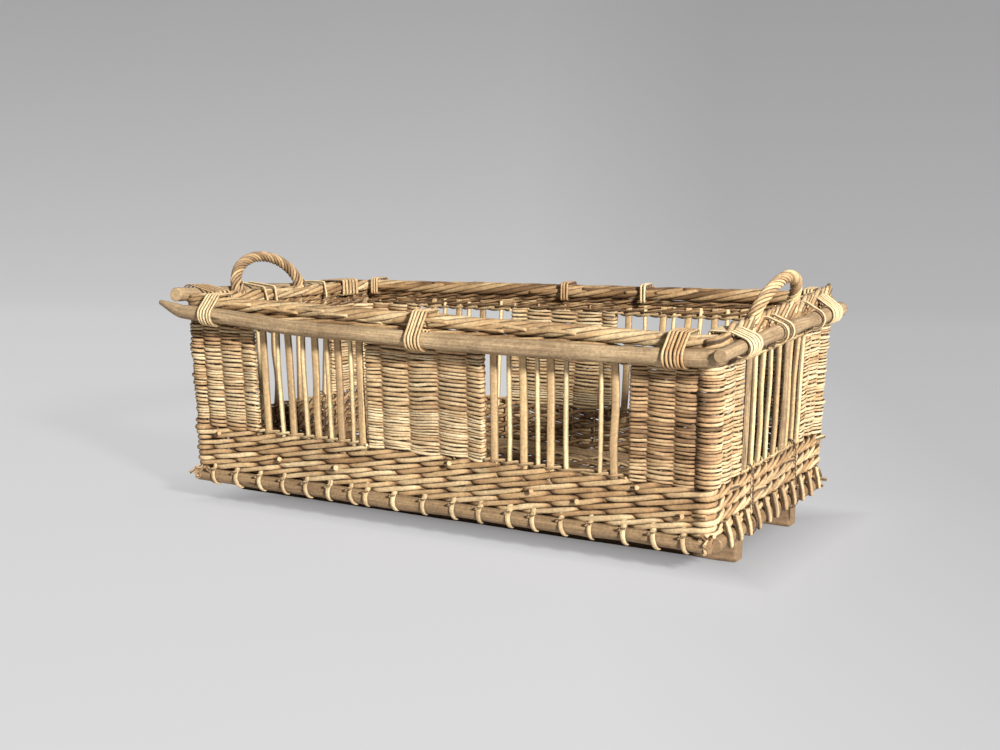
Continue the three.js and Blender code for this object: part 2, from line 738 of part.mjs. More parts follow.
// Slots under the border, through which the windings pass
function slotSolids() {
  return windings().map(({ wall, place, turns, pitch, section }) => {
    const length = turns * pitch + section.wide + 2 * caneGap;
    const depth = upperBandThickness + 2 * overrun;
    const height = section.thick + 2 * caneGap + overrun;
    const slot = new THREE.BoxGeometry(length, depth, height);
    slot.translate(0, 0, upperBandTop - section.thick - 2 * caneGap + height / 2);
    return solidOf(atWall(slot, wall, place));
  });
}

// The upper band, and the border that finishes the walls
function addRim() {
  const band = join([
    courseSolid(upperBandThickness, upperBandBottom, upperBandTop),
    ...cornerColumns(columnRadius, upperBandBottom, upperBandTop),
  ]);
  const bandCutters = [
    ...postBores(upperBandBottom, upperBandTop),
    ...legBores(upperBandBottom - overrun, upperBandTop + overrun),
    ...slotSolids(),
  ];
  addPiece("upper_band", settle(geometryOf(cut(band, bandCutters))), willow);
  const border = courseSolid(borderWidth, borderBottom, borderTop);
  const bores = legBores(borderBottom - overrun, borderTop + overrun);
  addPiece("border", settle(geometryOf(cut(border, bores))), willow);
}

// A round tube along a curve
function tube(curve, radius, sides, steps) {
  const shape = new THREE.Shape(
    Array.from({ length: sides }, (_, i) => {
      const angle = (2 * Math.PI * i) / sides;
      return new THREE.Vector2(radius * Math.cos(angle), radius * Math.sin(angle));
    }),
  );
  return new THREE.ExtrudeGeometry(shape, { steps, extrudePath: curve, bevelEnabled: false });
}

// Each rim pole passes one corner. Its other end stops short of the next pole, but for the left pole's
// front end, which lies on the front pole.
function addRimPoles() {
  const stopX = endPoleX - rimPoleRadius - sidePoleStop;
  const stopY = sidePoleY - rimPoleRadius - seat;
  for (const [name, side] of [["rim_pole_front", -1], ["rim_pole_rear", 1]]) {
    const from = side * (endPoleX + sidePoleOverhang);
    const to = -side * stopX;
    const points = Array.from({ length: poleSteps + 1 }, (_, i) => {
      const x = from + ((to - from) * i) / poleSteps;
      return new THREE.Vector3(x, side * sidePoleY, sidePoleLevel(x));
    });
    const curve = new THREE.CatmullRomCurve3(points);
    addPiece(name, settle(tube(curve, rimPoleRadius, poleSides, poleSteps)), bark);
  }
  for (const [hand, side, from, to] of [
    ["left", -1, endPoleReach, restingPoleFront],
    ["right", 1, -endPoleReach, stopY],
  ]) {
    const ends = [from, to].map((y) => new THREE.Vector3(side * endPoleX, y, poleLevels[hand](y)));
    const pole = tube(new THREE.LineCurve3(...ends), rimPoleRadius, poleSides, poleSteps);
    addPiece(`rim_pole_${hand}`, settle(pole), bark);
  }
}

// A handle's middle line over the border, from leg to leg
function handleArch(side) {
  const points = Array.from({ length: archPoints }, (_, i) => {
    const angle = (Math.PI * i) / (archPoints - 1);
    return new THREE.Vector3(
      side * (halfLength + handleLean * Math.sin(angle)),
      handleY - (handleSpan / 2) * Math.cos(angle),
      borderTop + handleRise * Math.sin(angle),
    );
  });
  return new THREE.CatmullRomCurve3(points);
}

function addHandles() {
  for (const [hand, side] of [["left", -1], ["right", 1]]) {
    const curve = handleArch(side);
    const foot = bandTop - legSocketDepth + seat;
    const legs = legSolids(side, bowRadius, foot, borderTop + bowRadius);
    const bow = solidOf(tube(curve, bowRadius, bowSides, bowSteps));
    addPiece(`handle_bow_${hand}`, settle(geometryOf(join([bow, ...legs]))), bark);
    const cover = solidOf(tube(curve, ropeRadius, poleSides, bowSteps));
    const bore = solidOf(tube(curve, bowRadius + ropeGap, bowSides, bowSteps));
    const boreRadius = bowRadius + ropeGap;
    const legBore = legSolids(side, boreRadius, borderTop - overrun, borderTop + boreRadius);
    const ground = boxSolid(
      [side * halfLength - wallWidth, -wallWidth, 0],
      [side * halfLength + wallWidth, wallWidth, borderTop + seat],
    );
    addPiece(`handle_rope_${hand}`, settle(geometryOf(cut(cover, [bore, ...legBore, ground]))), peeled);
  }
}

// A wire tie passes clear of the runners, the hooks, the handle's legs and the end window's rods
function tiePlace(hand, share) {
  return clearPlace((share * endWindowWidth) / 2, wireRadius, [
    ...[-1, 1].map((side) => ({ at: (side * runnerSpacing) / 2, room: runnerWidth / 2 + wireGap })),
    ...hookPlaces(wallWidth).map((at) => ({ at, room: hookWidth / 2 + wireGap })),
    ...legYs.map((at) => ({ at, room: bowRadius + wireGap })),
    ...endRodPlaces(hand).map((at) => ({ at, room: endRodRadius + wireGap })),
  ]);
}

// Each wire tie loops over the sill of an end window and under the base pole, beside a runner
function addWireTies() {
  const off = wireRadius + wireGap;
  const inner = Math.min(halfLength - lowerBandThickness / 2, basePoleX - basePoleRadius) - off;
  const outer = Math.max(halfLength + lowerBandThickness / 2, basePoleX + basePoleRadius) + off;
  const [low, high] = [poleAxisLevel - basePoleRadius - off, panelBottom + pairingHeight + off];
  const bend = 2 * wireRadius;
  for (const [hand, side] of [["left", -1], ["right", 1]])
    for (const [place, toRear] of [["front", -1], ["rear", 1]]) {
      const y = tiePlace(hand, toRear * wireShare);
      const round = [
        [inner + bend, low], [outer - bend, low], [outer, low + bend], [outer, high - bend],
        [outer - bend, high], [inner + bend, high], [inner, high - bend], [inner, low + bend],
      ];
      const points = round.map(([x, z]) => new THREE.Vector3(side * x, y, z));
      addPiece(`wire_tie_${hand}_${place}`, settle(closedTube(points, wireRadius, wireSides)), iron);
    }
}

// A closed ring of straight stretches, all in one upright plane along X
function closedTube(points, radius, sides) {
  const place = [];
  const across = new THREE.Vector3(0, 1, 0);
  const count = points.length;
  points.forEach((point, i) => {
    const heading = new THREE.Vector3()
      .subVectors(points[(i + 1) % count], points[(i + count - 1) % count])
      .normalize();
    const out = new THREE.Vector3().crossVectors(heading, across);
    for (let j = 0; j < sides; j++) {
      const angle = (2 * Math.PI * j) / sides;
      const corner = point.clone()
        .addScaledVector(across, radius * Math.cos(angle))
        .addScaledVector(out, radius * Math.sin(angle));
      place.push(corner.x, corner.y, corner.z);
    }
  });
  const index = [];
  for (let i = 0; i < count; i++)
    for (let j = 0; j < sides; j++) {
      const [a, b] = [i * sides + j, i * sides + ((j + 1) % sides)];
      const [c, d] = [((i + 1) % count) * sides + ((j + 1) % sides), ((i + 1) % count) * sides + j];
      index.push(a, b, c, a, c, d);
    }
  return new THREE.BufferGeometry()
    .setAttribute("position", new THREE.Float32BufferAttribute(place, 3))
    .setIndex(index);
}

addRunners();
addBase();
addLowerBand();
addCornerPosts();
addPanels();
addWindows();
addRim();
addRimPoles();
addWindings();
addHandles();
addWireTies();

export default basket;
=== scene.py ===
# %% [markdown]
# A large rectangular wicker basket for harvest or linen. The real one is made of willow: thick rods
# waled into a lower band, thin rods woven into panels, bars in open windows, a roped border, and poles
# tied round the rim with cane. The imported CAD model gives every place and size. Each of its solids is
# replaced here by a finer one, and the woven ones by rods that really pass over and under each other,
# because the light between them is what makes wicker look like wicker.

# %% Load the frame
import math

import bpy
import numpy as np
from mathutils import Matrix


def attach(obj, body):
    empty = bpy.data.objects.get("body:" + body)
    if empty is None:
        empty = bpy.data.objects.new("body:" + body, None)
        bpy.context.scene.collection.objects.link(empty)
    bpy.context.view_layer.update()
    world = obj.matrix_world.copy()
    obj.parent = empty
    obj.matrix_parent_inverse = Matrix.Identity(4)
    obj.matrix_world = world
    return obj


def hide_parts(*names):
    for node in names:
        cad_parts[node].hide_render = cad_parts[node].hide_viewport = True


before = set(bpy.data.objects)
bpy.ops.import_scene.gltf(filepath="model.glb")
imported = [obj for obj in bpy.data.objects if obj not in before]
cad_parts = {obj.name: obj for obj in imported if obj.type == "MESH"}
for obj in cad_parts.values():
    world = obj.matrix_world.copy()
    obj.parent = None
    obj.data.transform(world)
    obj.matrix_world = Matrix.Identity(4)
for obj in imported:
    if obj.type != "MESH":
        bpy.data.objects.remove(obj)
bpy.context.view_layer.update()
chance = np.random.default_rng(29)

# %% [markdown]
# The camera stands where the photographer stood. A lens of 57 mm on a 36 mm sensor, 2.6 m away and a
# little above the rim, was fitted to the basket's corners in the photograph. It has a very slight roll.

# %% Camera
lens_mm, sensor_mm = 56.74, 36.0
camera_yaw, camera_pitch, camera_roll = 0.4974, 0.1577, 0.0127
camera_place = (1.2263, -2.2913, 0.6372)


def camera_axes(yaw, pitch, roll):
    """The camera's right, up and backward directions: ahead is turned by yaw and pitch, then rolled."""
    ahead = np.array([-math.sin(yaw) * math.cos(pitch), math.cos(yaw) * math.cos(pitch), -math.sin(pitch)])
    level = np.array([math.cos(yaw), math.sin(yaw), 0.0])
    right = math.cos(roll) * level + math.sin(roll) * np.cross(level, ahead)
    return right, np.cross(right, ahead), -ahead


def add_object(name, data):
    """A new object in the scene."""
    thing = bpy.data.objects.new(name, data)
    bpy.context.scene.collection.objects.link(thing)
    return thing


def turned(axes, place):
    """The matrix that points X, Y and Z along three axes, and moves to a place."""
    rows = [[*row, spot] for row, spot in zip(np.stack(axes, 1), place)]
    return Matrix(rows + [[0, 0, 0, 1]])


camera = add_object("camera", bpy.data.cameras.new("camera"))
camera.data.lens, camera.data.sensor_width = lens_mm, sensor_mm
axes = camera_axes(camera_yaw, camera_pitch, camera_roll)
camera.matrix_world = turned(axes, camera_place)
bpy.context.scene.camera = camera
print("camera looks along", np.round(-axes[2], 3))

# %% [markdown]
# Lamps, surfaces and surroundings are all set up with shader nodes. A few helpers make a node in one line,
# so that a formula of many nodes can be read like a formula.

# %% Node helpers
def srgb(red, green, blue):
    """A screen colour, 0 to 255, as the linear colour that Blender works in."""
    return tuple(((c / 255 + 0.055) / 1.055) ** 2.4 for c in (red, green, blue)) + (1.0,)


def add_node(tree, kind, inputs=None, **settings):
    """A shader node with its settings. Each input gets a value, or a link if a socket is given."""
    made = tree.nodes.new("ShaderNode" + kind)
    for name, value in settings.items():
        setattr(made, name, value)
    for key, value in (inputs or {}).items():
        if isinstance(value, bpy.types.NodeSocket):
            tree.links.new(value, made.inputs[key])
        else:
            made.inputs[key].default_value = value
    return made


def maths(tree, operation, *values):
    """The result of a Math node."""
    return add_node(tree, "Math", dict(enumerate(values)), operation=operation).outputs[0]


def blend(tree, amount, first, second, mode="MIX"):
    """The colour of a Mix node: first at amount 0, second at 1."""
    mix = add_node(tree, "Mix", {0: amount, 6: first, 7: second}, data_type="RGBA", blend_type=mode)
    return mix.outputs[2]


def spread(tree, value, low, high, to_low=0.0, to_high=1.0):
    """A value carried from one range to another, and held within it."""
    ends = {"Value": value, "From Min": low, "From Max": high, "To Min": to_low, "To Max": to_high}
    return add_node(tree, "MapRange", ends).outputs["Result"]


def noise(tree, where, scale, detail, roughness=0.5):
    """The value of a Noise Texture node."""
    inputs = {"Vector": where, "Scale": scale, "Detail": detail, "Roughness": roughness}
    return add_node(tree, "TexNoise", inputs).outputs[0]


def object_place(tree):
    """Where a point lies in the basket's own space."""
    return add_node(tree, "TexCoord").outputs["Object"]


print("a mid grey of 128 is", round(srgb(128, 128, 128)[0], 3), "as light")

# %% [markdown]
# Soft studio light: a broad lamp from the front right and above, as in the photograph, a weaker one from
# the left to open the shadows, and a pale surround. The surround lights the basket faintly, but what looks
# at it directly, through a gloss or through glass sees a plain grey.

# %% Studio
def unit(vectors):
    """Vectors divided by their length."""
    return vectors / np.maximum(np.linalg.norm(vectors, axis=-1, keepdims=True), 1e-12)


def lamp(name, place, target, size, power):
    """A square soft lamp that looks from its place to a target."""
    light = add_object(name, bpy.data.lights.new(name, "AREA"))
    light.data.size, light.data.energy = size, power
    away = unit(np.subtract(place, target))
    side = unit(np.cross((0.0, 0.0, 1.0), away))
    light.matrix_world = turned((side, np.cross(away, side), away), place)


surround_tint, surround_strength = (0.93, 0.95, 1.0, 1.0), 0.12
backdrop_grey = (0.5, 0.49, 0.495, 1.0)
lamp("key_lamp", (5.75, -3.8, 3.1), (0.0, 0.0, 0.15), size=0.85, power=1330.0)
lamp("fill_lamp", (-2.4, -2.6, 1.8), (0.0, 0.0, 0.2), size=2.4, power=6.0)

world = bpy.data.worlds.new("studio")
bpy.context.scene.world = world
world.use_nodes = True
tree = world.node_tree
surround = tree.nodes["Background"]
surround.inputs["Color"].default_value = surround_tint
surround.inputs["Strength"].default_value = surround_strength
backdrop = add_node(tree, "Background", {"Color": backdrop_grey, "Strength": 1.0})
ray = add_node(tree, "LightPath").outputs
seen = maths(tree, "MAXIMUM", ray["Is Camera Ray"], ray["Is Glossy Ray"])
seen = maths(tree, "MAXIMUM", seen, ray["Is Transmission Ray"])
mix = add_node(tree, "MixShader", {0: seen, 1: surround.outputs[0], 2: backdrop.outputs[0]})
tree.links.new(mix.outputs[0], tree.nodes["World Output"].inputs["Surface"])
bpy.context.scene.view_settings.view_transform = "Standard"
print(len(bpy.data.lights), "lamps and a surround")

# %% [markdown]
# Every piece below is a surface over two parameters. One helper turns a grid of points into a mesh, and
# keeps a UV map, with metres along the rod and the share of a turn around it, for the grain to follow.
# A second value per point, the tone, says how light or dark that rod of willow is.

# %% From grids to meshes
class Bundle:
    """Collects closed tubes for one piece: points, four-sided faces, UV, tone, and which faces are smooth."""

    def __init__(self):
        self.tubes, self.count = [], 0

    def add(self, points, faces, *values):
        """Takes in tubes. Their faces count on from the points before."""
        self.tubes.append((points, faces + self.count, *values))
        self.count += len(points)


def tube_faces(steps, sides):
    """The faces of one tube, rings joined to rings, then those of its two flat ends. Also how many are
    round the tube."""
    i, j = np.meshgrid(np.arange(steps - 1), np.arange(sides), indexing="ij")
    near, far = i * sides + j, i * sides + (j + 1) % sides
    tube = np.stack([near, far, far + sides, near + sides], -1).reshape(-1, 4)
    k = np.arange(sides // 2 - 1)
    cap = np.stack([k, k + 1, sides - 2 - k, sides - 1 - k], -1)
    return np.concatenate([tube, cap[:, ::-1], cap + (steps - 1) * sides]), len(tube)


def tube_uvs(path, sides, cap_corners, apart=7.3):
    """The UV of each corner of each face: metres along the path, a number apart for each rod, and the
    share of a turn. A flat end has one value of each."""
    count, steps, _ = path.shape
    metres = np.cumsum(np.linalg.norm(np.diff(path, axis=1), axis=-1), 1)
    metres = np.concatenate([np.zeros((count, 1)), metres], 1) + apart * np.arange(count)[:, None]
    lower, upper = metres[:, :-1, None], metres[:, 1:, None]
    turn = np.arange(sides) / sides
    u = np.stack(np.broadcast_arrays(lower, lower, upper, upper), -1)
    u = np.broadcast_to(u, (count, steps - 1, sides, 4))
    v = np.broadcast_to(np.stack([turn, turn + 1 / sides, turn + 1 / sides, turn], -1), u.shape)
    side_uv = np.stack([u, v], -1).reshape(count, -1, 2)
    ends = np.stack([metres[:, 0], metres[:, -1]], 1).repeat(cap_corners, 1)
    end_uv = np.stack([ends, np.full(ends.shape, 0.5)], -1)
    return np.concatenate([side_uv, end_uv], 1).reshape(-1, 2)


def rods(bundle, path, radius, facing, tone, sides=8, flat=1.0, squareness=1.0):
    """Adds closed tubes. path is rods x points x 3. Round each point lies a ring: radius times the cosine
    of the angle along the facing direction, squashed by flat, and times the sine across it. The cosine and
    sine are raised to squareness, which below 1 gives a boxy section. Both ends are closed by flat cuts.
    Gives the points, which the maker of a pole or a board still moves in their places."""
    path = np.asarray(path, float)
    count, steps, _ = path.shape
    along = unit(np.gradient(path, axis=1))
    facing = np.broadcast_to(facing, path.shape)
    out = unit(facing - (facing * along).sum(-1, keepdims=True) * along)
    across = np.cross(along, out)
    angle = 2 * np.pi * np.arange(sides) / sides
    cosine, sine = (np.sign(v) * np.abs(v) ** squareness for v in (np.cos(angle), np.sin(angle)))
    radius = np.broadcast_to(radius, (count, steps))[..., None, None]
    flat = np.broadcast_to(flat, (count, steps))[..., None, None]
    ring = cosine[:, None] * out[:, :, None] * flat + sine[:, None] * across[:, :, None]
    points = path[:, :, None] + radius * ring

    one, round_count = tube_faces(steps, sides)
    faces = (one[None] + (np.arange(count) * steps * sides)[:, None, None]).reshape(-1, 4)
    uvs = tube_uvs(path, sides, cap_corners=4 * (len(one) - round_count) // 2)
    smooth = np.tile(np.arange(len(one)) < round_count, count)
    tone = np.asarray(tone, float)
    tone = tone[:, None] if tone.ndim == 1 else tone
    tones = np.broadcast_to(tone, (count, steps)).repeat(sides, 1).ravel()
    bundle.add(points.reshape(-1, 3), faces, uvs, tones, smooth)
    return points


def piece(name, bundle, material, slot, *nodes):
    """The bundle as one smooth mesh that rides on the basket and stands for CAD nodes."""
    points, faces, uvs, tones, smooth = (np.concatenate(values) for values in zip(*bundle.tubes))
    mesh = bpy.data.meshes.new(name)
    mesh.vertices.add(len(points))
    mesh.vertices.foreach_set("co", points.astype(np.float32).ravel())
    mesh.loops.add(faces.size)
    mesh.loops.foreach_set("vertex_index", faces.astype(np.int32).ravel())
    mesh.polygons.add(len(faces))
    mesh.polygons.foreach_set("loop_start", np.arange(0, faces.size, 4, dtype=np.int32))
    mesh.polygons.foreach_set("use_smooth", smooth)
    mesh.update(calc_edges=True)
    uv = mesh.uv_layers.new(name="rod")
    uv.data.foreach_set("uv", uvs.astype(np.float32).ravel())
    tone = mesh.attributes.new("tone", "FLOAT", "POINT")
    tone.data.foreach_set("value", tones.astype(np.float32))
    mesh.materials.append(material)
    thing = add_object(name, mesh)
    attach(thing, "root")
    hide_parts(*nodes)
    print(f"{name}: {2 * len(faces)} triangles")


print("faces of one rod of 12 rings:", len(tube_faces(12, 8)[0]))

# %% [markdown]
# The basket's plan is a rectangle with small round corners: the line along the middle of the walls.
# Everything woven is drawn along this line. A place on it is one length, measured from the middle of the
# front towards the right and on round the basket. As the walls rise they lean outwards, and the rim has
# twisted a little with age, so the last step moves each point as the CAD source does.

# %% The walls' middle line
half_length, half_width, corner_radius = 0.453, 0.241, 0.014
band_bottom, band_top = 0.0616, 0.1326
panel_bottom, panel_top = 0.1329, 0.3079
upper_band_top, border_bottom, border_top = 0.3302, 0.3305, 0.3545
length_lean, width_lean, rim_twist = 0.0063, 0.016, 0.014
straight_x, straight_y = half_length - corner_radius, half_width - corner_radius
bend = corner_radius * math.pi / 2
perimeter = 4 * (straight_x + straight_y + bend)
wall_middle = {"front": 0.0, "right": perimeter / 4, "rear": perimeter / 2, "left": 3 * perimeter / 4}
wall_sign = {"front": 1, "right": 1, "rear": -1, "left": -1}


def settle(points):
    """The walls' lean and the rim's twist: each grows with the height over the lower band's bottom."""
    x, y, z = np.moveaxis(np.asarray(points, float), -1, 0)
    rise = np.maximum(0, z - band_bottom) / (panel_top - band_bottom)
    to_rear = (1 + y / half_width) / 2
    return np.stack([
        x * (1 + rise * length_lean / half_length),
        y * (1 + rise * width_lean / half_width),
        z + rise * rim_twist * to_rear * x / half_length,
    ], -1)


def corner_table(corner_points=13):
    """Place, X, Y and heading angle at points dense enough to draw the round corners."""
    starts = np.cumsum([straight_x, bend, 2 * straight_y, bend, 2 * straight_x, bend, 2 * straight_y, bend])
    centres = [(straight_x, -straight_y), (straight_x, straight_y), (-straight_x, straight_y),
               (-straight_x, -straight_y)]
    turn = np.linspace(0, 1, corner_points)
    rows = [[0, 0, -half_width, -math.pi / 2]]
    for quarter, (cx, cy) in enumerate(centres):
        angle = (quarter - 1 + turn) * math.pi / 2
        place = starts[2 * quarter] + turn * bend
        rows += zip(place, cx + corner_radius * np.cos(angle), cy + corner_radius * np.sin(angle), angle)
    rows.append([perimeter, 0, -half_width, 1.5 * math.pi])
    return np.array(rows).T


table_place, table_x, table_y, table_angle = corner_table()


def on_wall(place, out, z):
    """Points at a place along the middle line, so far outwards from it, at a height. The middle line and
    its heading are interpolated in the corner table, and the wall's lean is added last."""
    place, out, z = np.broadcast_arrays(np.asarray(place, float), out, z)
    wrapped = np.mod(place, perimeter)
    x, y, angle = (np.interp(wrapped, table_place, t) for t in (table_x, table_y, table_angle))
    return settle(np.stack([x + out * np.cos(angle), y + out * np.sin(angle), z], -1))


def outwards(place):
    """The direction straight out of the wall at a place."""
    angle = np.interp(np.mod(place, perimeter), table_place, table_angle)
    return np.stack([np.cos(angle), np.sin(angle), np.zeros_like(angle)], -1)


def place_of(wall, along):
    """The place of a point at X on the front and rear walls, or at Y on the ends."""
    return wall_middle[wall] + wall_sign[wall] * along


def wander(count, steps, knots, size, closed=False):
    """Smooth random waves: random values at a few knots, joined by a cosine blend. A closed wave ends where
    it began."""
    values = chance.normal(0, size, (count, knots + 1))
    if closed:
        values[:, -1] = values[:, 0]
    at = np.linspace(0, knots - 1e-9, steps)
    low = at.astype(int)
    share = (1 - np.cos(np.pi * (at - low))) / 2
    return values[:, low] * (1 - share) + values[:, low + 1] * share


def varied(low, high, count):
    """One random value for each of a number of rods, as a column."""
    return chance.uniform(low, high, (count, 1))


print("perimeter of the walls", round(perimeter, 4))

# %% [markdown]
# Every finish is willow or wood, so the effects are shared. Each effect is a node group, built once and
# then placed in the materials with its own values. Grain follows a rod, whichever way the rod bends. The
# first group turns the UV map into a point on a long straight cylinder. There is no seam, because the
# angle is taken round a circle, and noise there can be stretched along the rod.

# %% Grain
def new_group(name, inputs, outputs):
    """A node group with sockets of given names and kinds: its tree, and its input and output sockets."""
    tree = bpy.data.node_groups.new(name, "ShaderNodeTree")
    for way, sockets in (("INPUT", inputs), ("OUTPUT", outputs)):
        for socket, kind in sockets.items():
            tree.interface.new_socket(socket, in_out=way, socket_type="NodeSocket" + kind)
    return tree, tree.nodes.new("NodeGroupInput").outputs, tree.nodes.new("NodeGroupOutput").inputs


def use_group(tree, group, inputs):
    """Places a node group in a tree, and gives its outputs."""
    return add_node(tree, "Group", inputs, node_tree=group).outputs


def rod_uv(tree):
    """Metres along the rod, and the angle around it in radians, from the UV map."""
    split = add_node(tree, "SeparateXYZ", {0: add_node(tree, "UVMap", uv_map="rod").outputs[0]}).outputs
    return split["X"], maths(tree, "MULTIPLY", split["Y"], 2 * math.pi)


rod_space, given, result = new_group("rod_space", {"Along": "Float", "Around": "Float"}, {"Vector": "Vector"})
metres, turn = rod_uv(rod_space)
point = add_node(rod_space, "CombineXYZ", {
    "X": maths(rod_space, "MULTIPLY", metres, given["Along"]),
    "Y": maths(rod_space, "MULTIPLY", maths(rod_space, "COSINE", turn), given["Around"]),
    "Z": maths(rod_space, "MULTIPLY", maths(rod_space, "SINE", turn), given["Around"]),
})
rod_space.links.new(point.outputs[0], result["Vector"])

# Streaks: fine lines along the rod, from noise that is stretched lengthwise, and slower blotches
slow_scales = {"Along": 9.0, "Around": 0.4}
streak_range, blotch_range = (0.3, 0.7), (0.32, 0.68)
grain, given, result = new_group(
    "grain", {"Along": "Float", "Around": "Float"}, {"Streaks": "Float", "Blotches": "Float"})
fine = use_group(grain, rod_space, {"Along": given["Along"], "Around": given["Around"]})[0]
grain.links.new(spread(grain, noise(grain, fine, 1.0, 4.0, 0.65), *streak_range), result["Streaks"])
slow = use_group(grain, rod_space, slow_scales)[0]
grain.links.new(spread(grain, noise(grain, slow, 1.0, 3.0), *blotch_range), result["Blotches"])
print("groups", rod_space.name, grain.name)

# %% [markdown]
# Each rod has its own colour: its tone runs over four colours, from pale to dark. Weather adds soft stains
# in the basket's own space, which run over many rods at once, and fine light and dark flecks.

# %% Colour and weather
shade_names, tone_steps = ("Pale", "Straw", "Brown", "Dark"), (0.0, 0.35, 0.7, 1.0)
patch_scale, speck_scale, fleck_scale = 7.0, 90.0, 230.0
rod_colour, given, result = new_group("rod_colour", dict.fromkeys(shade_names, "Color"), {"Color": "Color"})
tone = add_node(rod_colour, "Attribute", attribute_name="tone").outputs["Fac"]
colour = given["Pale"]
for low, high, darker in zip(tone_steps, tone_steps[1:], shade_names[1:]):
    colour = blend(rod_colour, spread(rod_colour, tone, low, high), colour, given[darker])
rod_colour.links.new(colour, result["Color"])

weather, given, result = new_group(
    "weather", {"Color": "Color", "Stain": "Color", "Amount": "Float"}, {"Color": "Color"})
here = object_place(weather)
patches = spread(weather, noise(weather, here, patch_scale, 5.0, 0.6), 0.42, 0.68)
specks = spread(weather, noise(weather, here, speck_scale, 3.0), 0.3, 0.6, 0.45, 1.0)
worn = maths(weather, "MULTIPLY", maths(weather, "MULTIPLY", patches, specks), given["Amount"])
stained = blend(weather, worn, given["Color"], given["Stain"])
flecks = spread(weather, noise(weather, here, fleck_scale, 3.0, 0.7), 0.33, 0.67, 0.72, 1.14)
weather.links.new(blend(weather, 1.0, stained, flecks, "MULTIPLY"), result["Color"])
print("groups", rod_colour.name, weather.name)

# %% [markdown]
# Knots are dark oval scars where twigs grew, each with a raised rim. Painted shade darkens the creases
# between rods, along both sides of each, a quarter of a turn from the side that faces out.

# %% Knots and creases
knot_around, crease_scale = 0.55, 120.0
knots, given, result = new_group(
    "knots", {"Along": "Float", "Size": "Float"}, {"Mask": "Float", "Height": "Float"})
spots = use_group(knots, rod_space, {"Along": given["Along"], "Around": knot_around})[0]
cells = add_node(knots, "TexVoronoi", {"Vector": spots, "Scale": 1.0}).outputs["Distance"]
share = maths(knots, "DIVIDE", cells, given["Size"])
knots.links.new(spread(knots, share, 1.0, 0.35), result["Mask"])
rim = maths(knots, "SUBTRACT", spread(knots, share, 1.9, 1.0), spread(knots, share, 0.9, 0.2))
knots.links.new(rim, result["Height"])

# Painted shade: the mask darkens both sides of each rod, where it meets its neighbours
creases, given, result = new_group("creases", {"Width": "Float", "Amount": "Float"}, {"Mask": "Float"})
sidewards = maths(creases, "ABSOLUTE", maths(creases, "SINE", rod_uv(creases)[1]))
patchy = noise(creases, object_place(creases), crease_scale, 3.0)
edge = maths(creases, "SUBTRACT", 1.0, maths(creases, "MULTIPLY", given["Width"], patchy))
crease_shade = maths(creases, "MULTIPLY", spread(creases, sidewards, edge, 1.0), given["Amount"])
creases.links.new(crease_shade, result["Mask"])
print("groups", knots.name, creases.name)

# %% [markdown]
# One function puts the effects together. The colours were judged against the photograph: pale straw
# where rods catch the light, tan and grey-brown where years of sun and soil have worked on them.

# %% Finishes
blotch_share, specular = 0.5, 0.35
knot_size, knot_share, knot_height = 0.17, 0.75, 1.5
# The first colour is the stain of weather; the second is painted shade for the creases between rods
soil, crease_shade_colour = srgb(98, 74, 50), srgb(34, 23, 14)


def shades(*colours):
    """Four screen colours, from pale to dark."""
    return [srgb(*colour) for colour in colours]


def finish_of(name, colours, along=30.0, around=3.0, weathering=0.4, knotty=None, bump=0.3, rough=(0.55, 0.8),
              depth=0.0006, streaky=0.45, crease=0.0, crease_width=0.4):
    """A wood finish: the rod's colour, streaked by its grain, stained by weather, scarred by knots, and
    darkened in the creases by painted shade. The grain and the knots' rims make the bump."""
    material = bpy.data.materials.new(name)
    material.use_nodes = True
    tree = material.node_tree
    shader = tree.nodes["Principled BSDF"]
    brown, dark = colours[2:]
    base = use_group(tree, rod_colour, dict(zip(shade_names, colours)))["Color"]
    lines = use_group(tree, grain, {"Along": along, "Around": around})
    base = blend(tree, spread(tree, lines["Blotches"], 0.0, 1.0, 0.0, blotch_share), base, brown)
    base = blend(tree, spread(tree, lines["Streaks"], 0.0, 1.0, streaky, 0.0), base, dark)
    base = use_group(tree, weather, {"Color": base, "Stain": soil, "Amount": weathering})["Color"]
    # Painted shade in the creases between rods
    if crease:
        crease_shade = use_group(tree, creases, {"Width": crease_width, "Amount": crease})["Mask"]
        base = blend(tree, crease_shade, base, crease_shade_colour)
    height = lines["Streaks"]
    if knotty:
        scars = use_group(tree, knots, {"Along": knotty, "Size": knot_size})
        base = blend(tree, maths(tree, "MULTIPLY", scars["Mask"], knot_share), base, dark)
        height = maths(tree, "ADD", height, maths(tree, "MULTIPLY", scars["Height"], knot_height))
    tree.links.new(base, shader.inputs["Base Color"])
    tree.links.new(spread(tree, lines["Blotches"], 0.0, 1.0, *rough), shader.inputs["Roughness"])
    relief = add_node(tree, "Bump", {"Strength": bump, "Distance": depth, "Height": height})
    tree.links.new(relief.outputs[0], shader.inputs["Normal"])
    shader.inputs["Specular IOR Level"].default_value = specular
    return material


band_colours = shades((246, 218, 168), (218, 182, 132), (166, 128, 86), (80, 56, 34))
willow = finish_of("woven_willow", shades((246, 222, 176), (220, 188, 140), (176, 138, 96), (84, 60, 36)),
                   crease=0.85, crease_width=0.62)
waling = finish_of("waling_willow", band_colours, along=22.0, weathering=0.5, knotty=5.0, crease=0.92,
                   crease_width=0.62)
border_willow = finish_of("border_willow", band_colours, along=16.0, weathering=0.45, knotty=5.0, crease=0.9,
                          crease_width=0.6)
peeled = finish_of("peeled_rods", shades((242, 220, 168), (224, 190, 136), (180, 148, 108), (122, 94, 66)),
                   along=12.0, around=2.2, weathering=0.25, knotty=4.0, crease=0.6, crease_width=0.5)
bark = finish_of("bark_pole", shades((232, 204, 160), (204, 174, 132), (154, 124, 88), (60, 44, 28)),
                 along=7.0, weathering=0.7, knotty=9.0, bump=0.65, depth=0.0013, streaky=0.65)
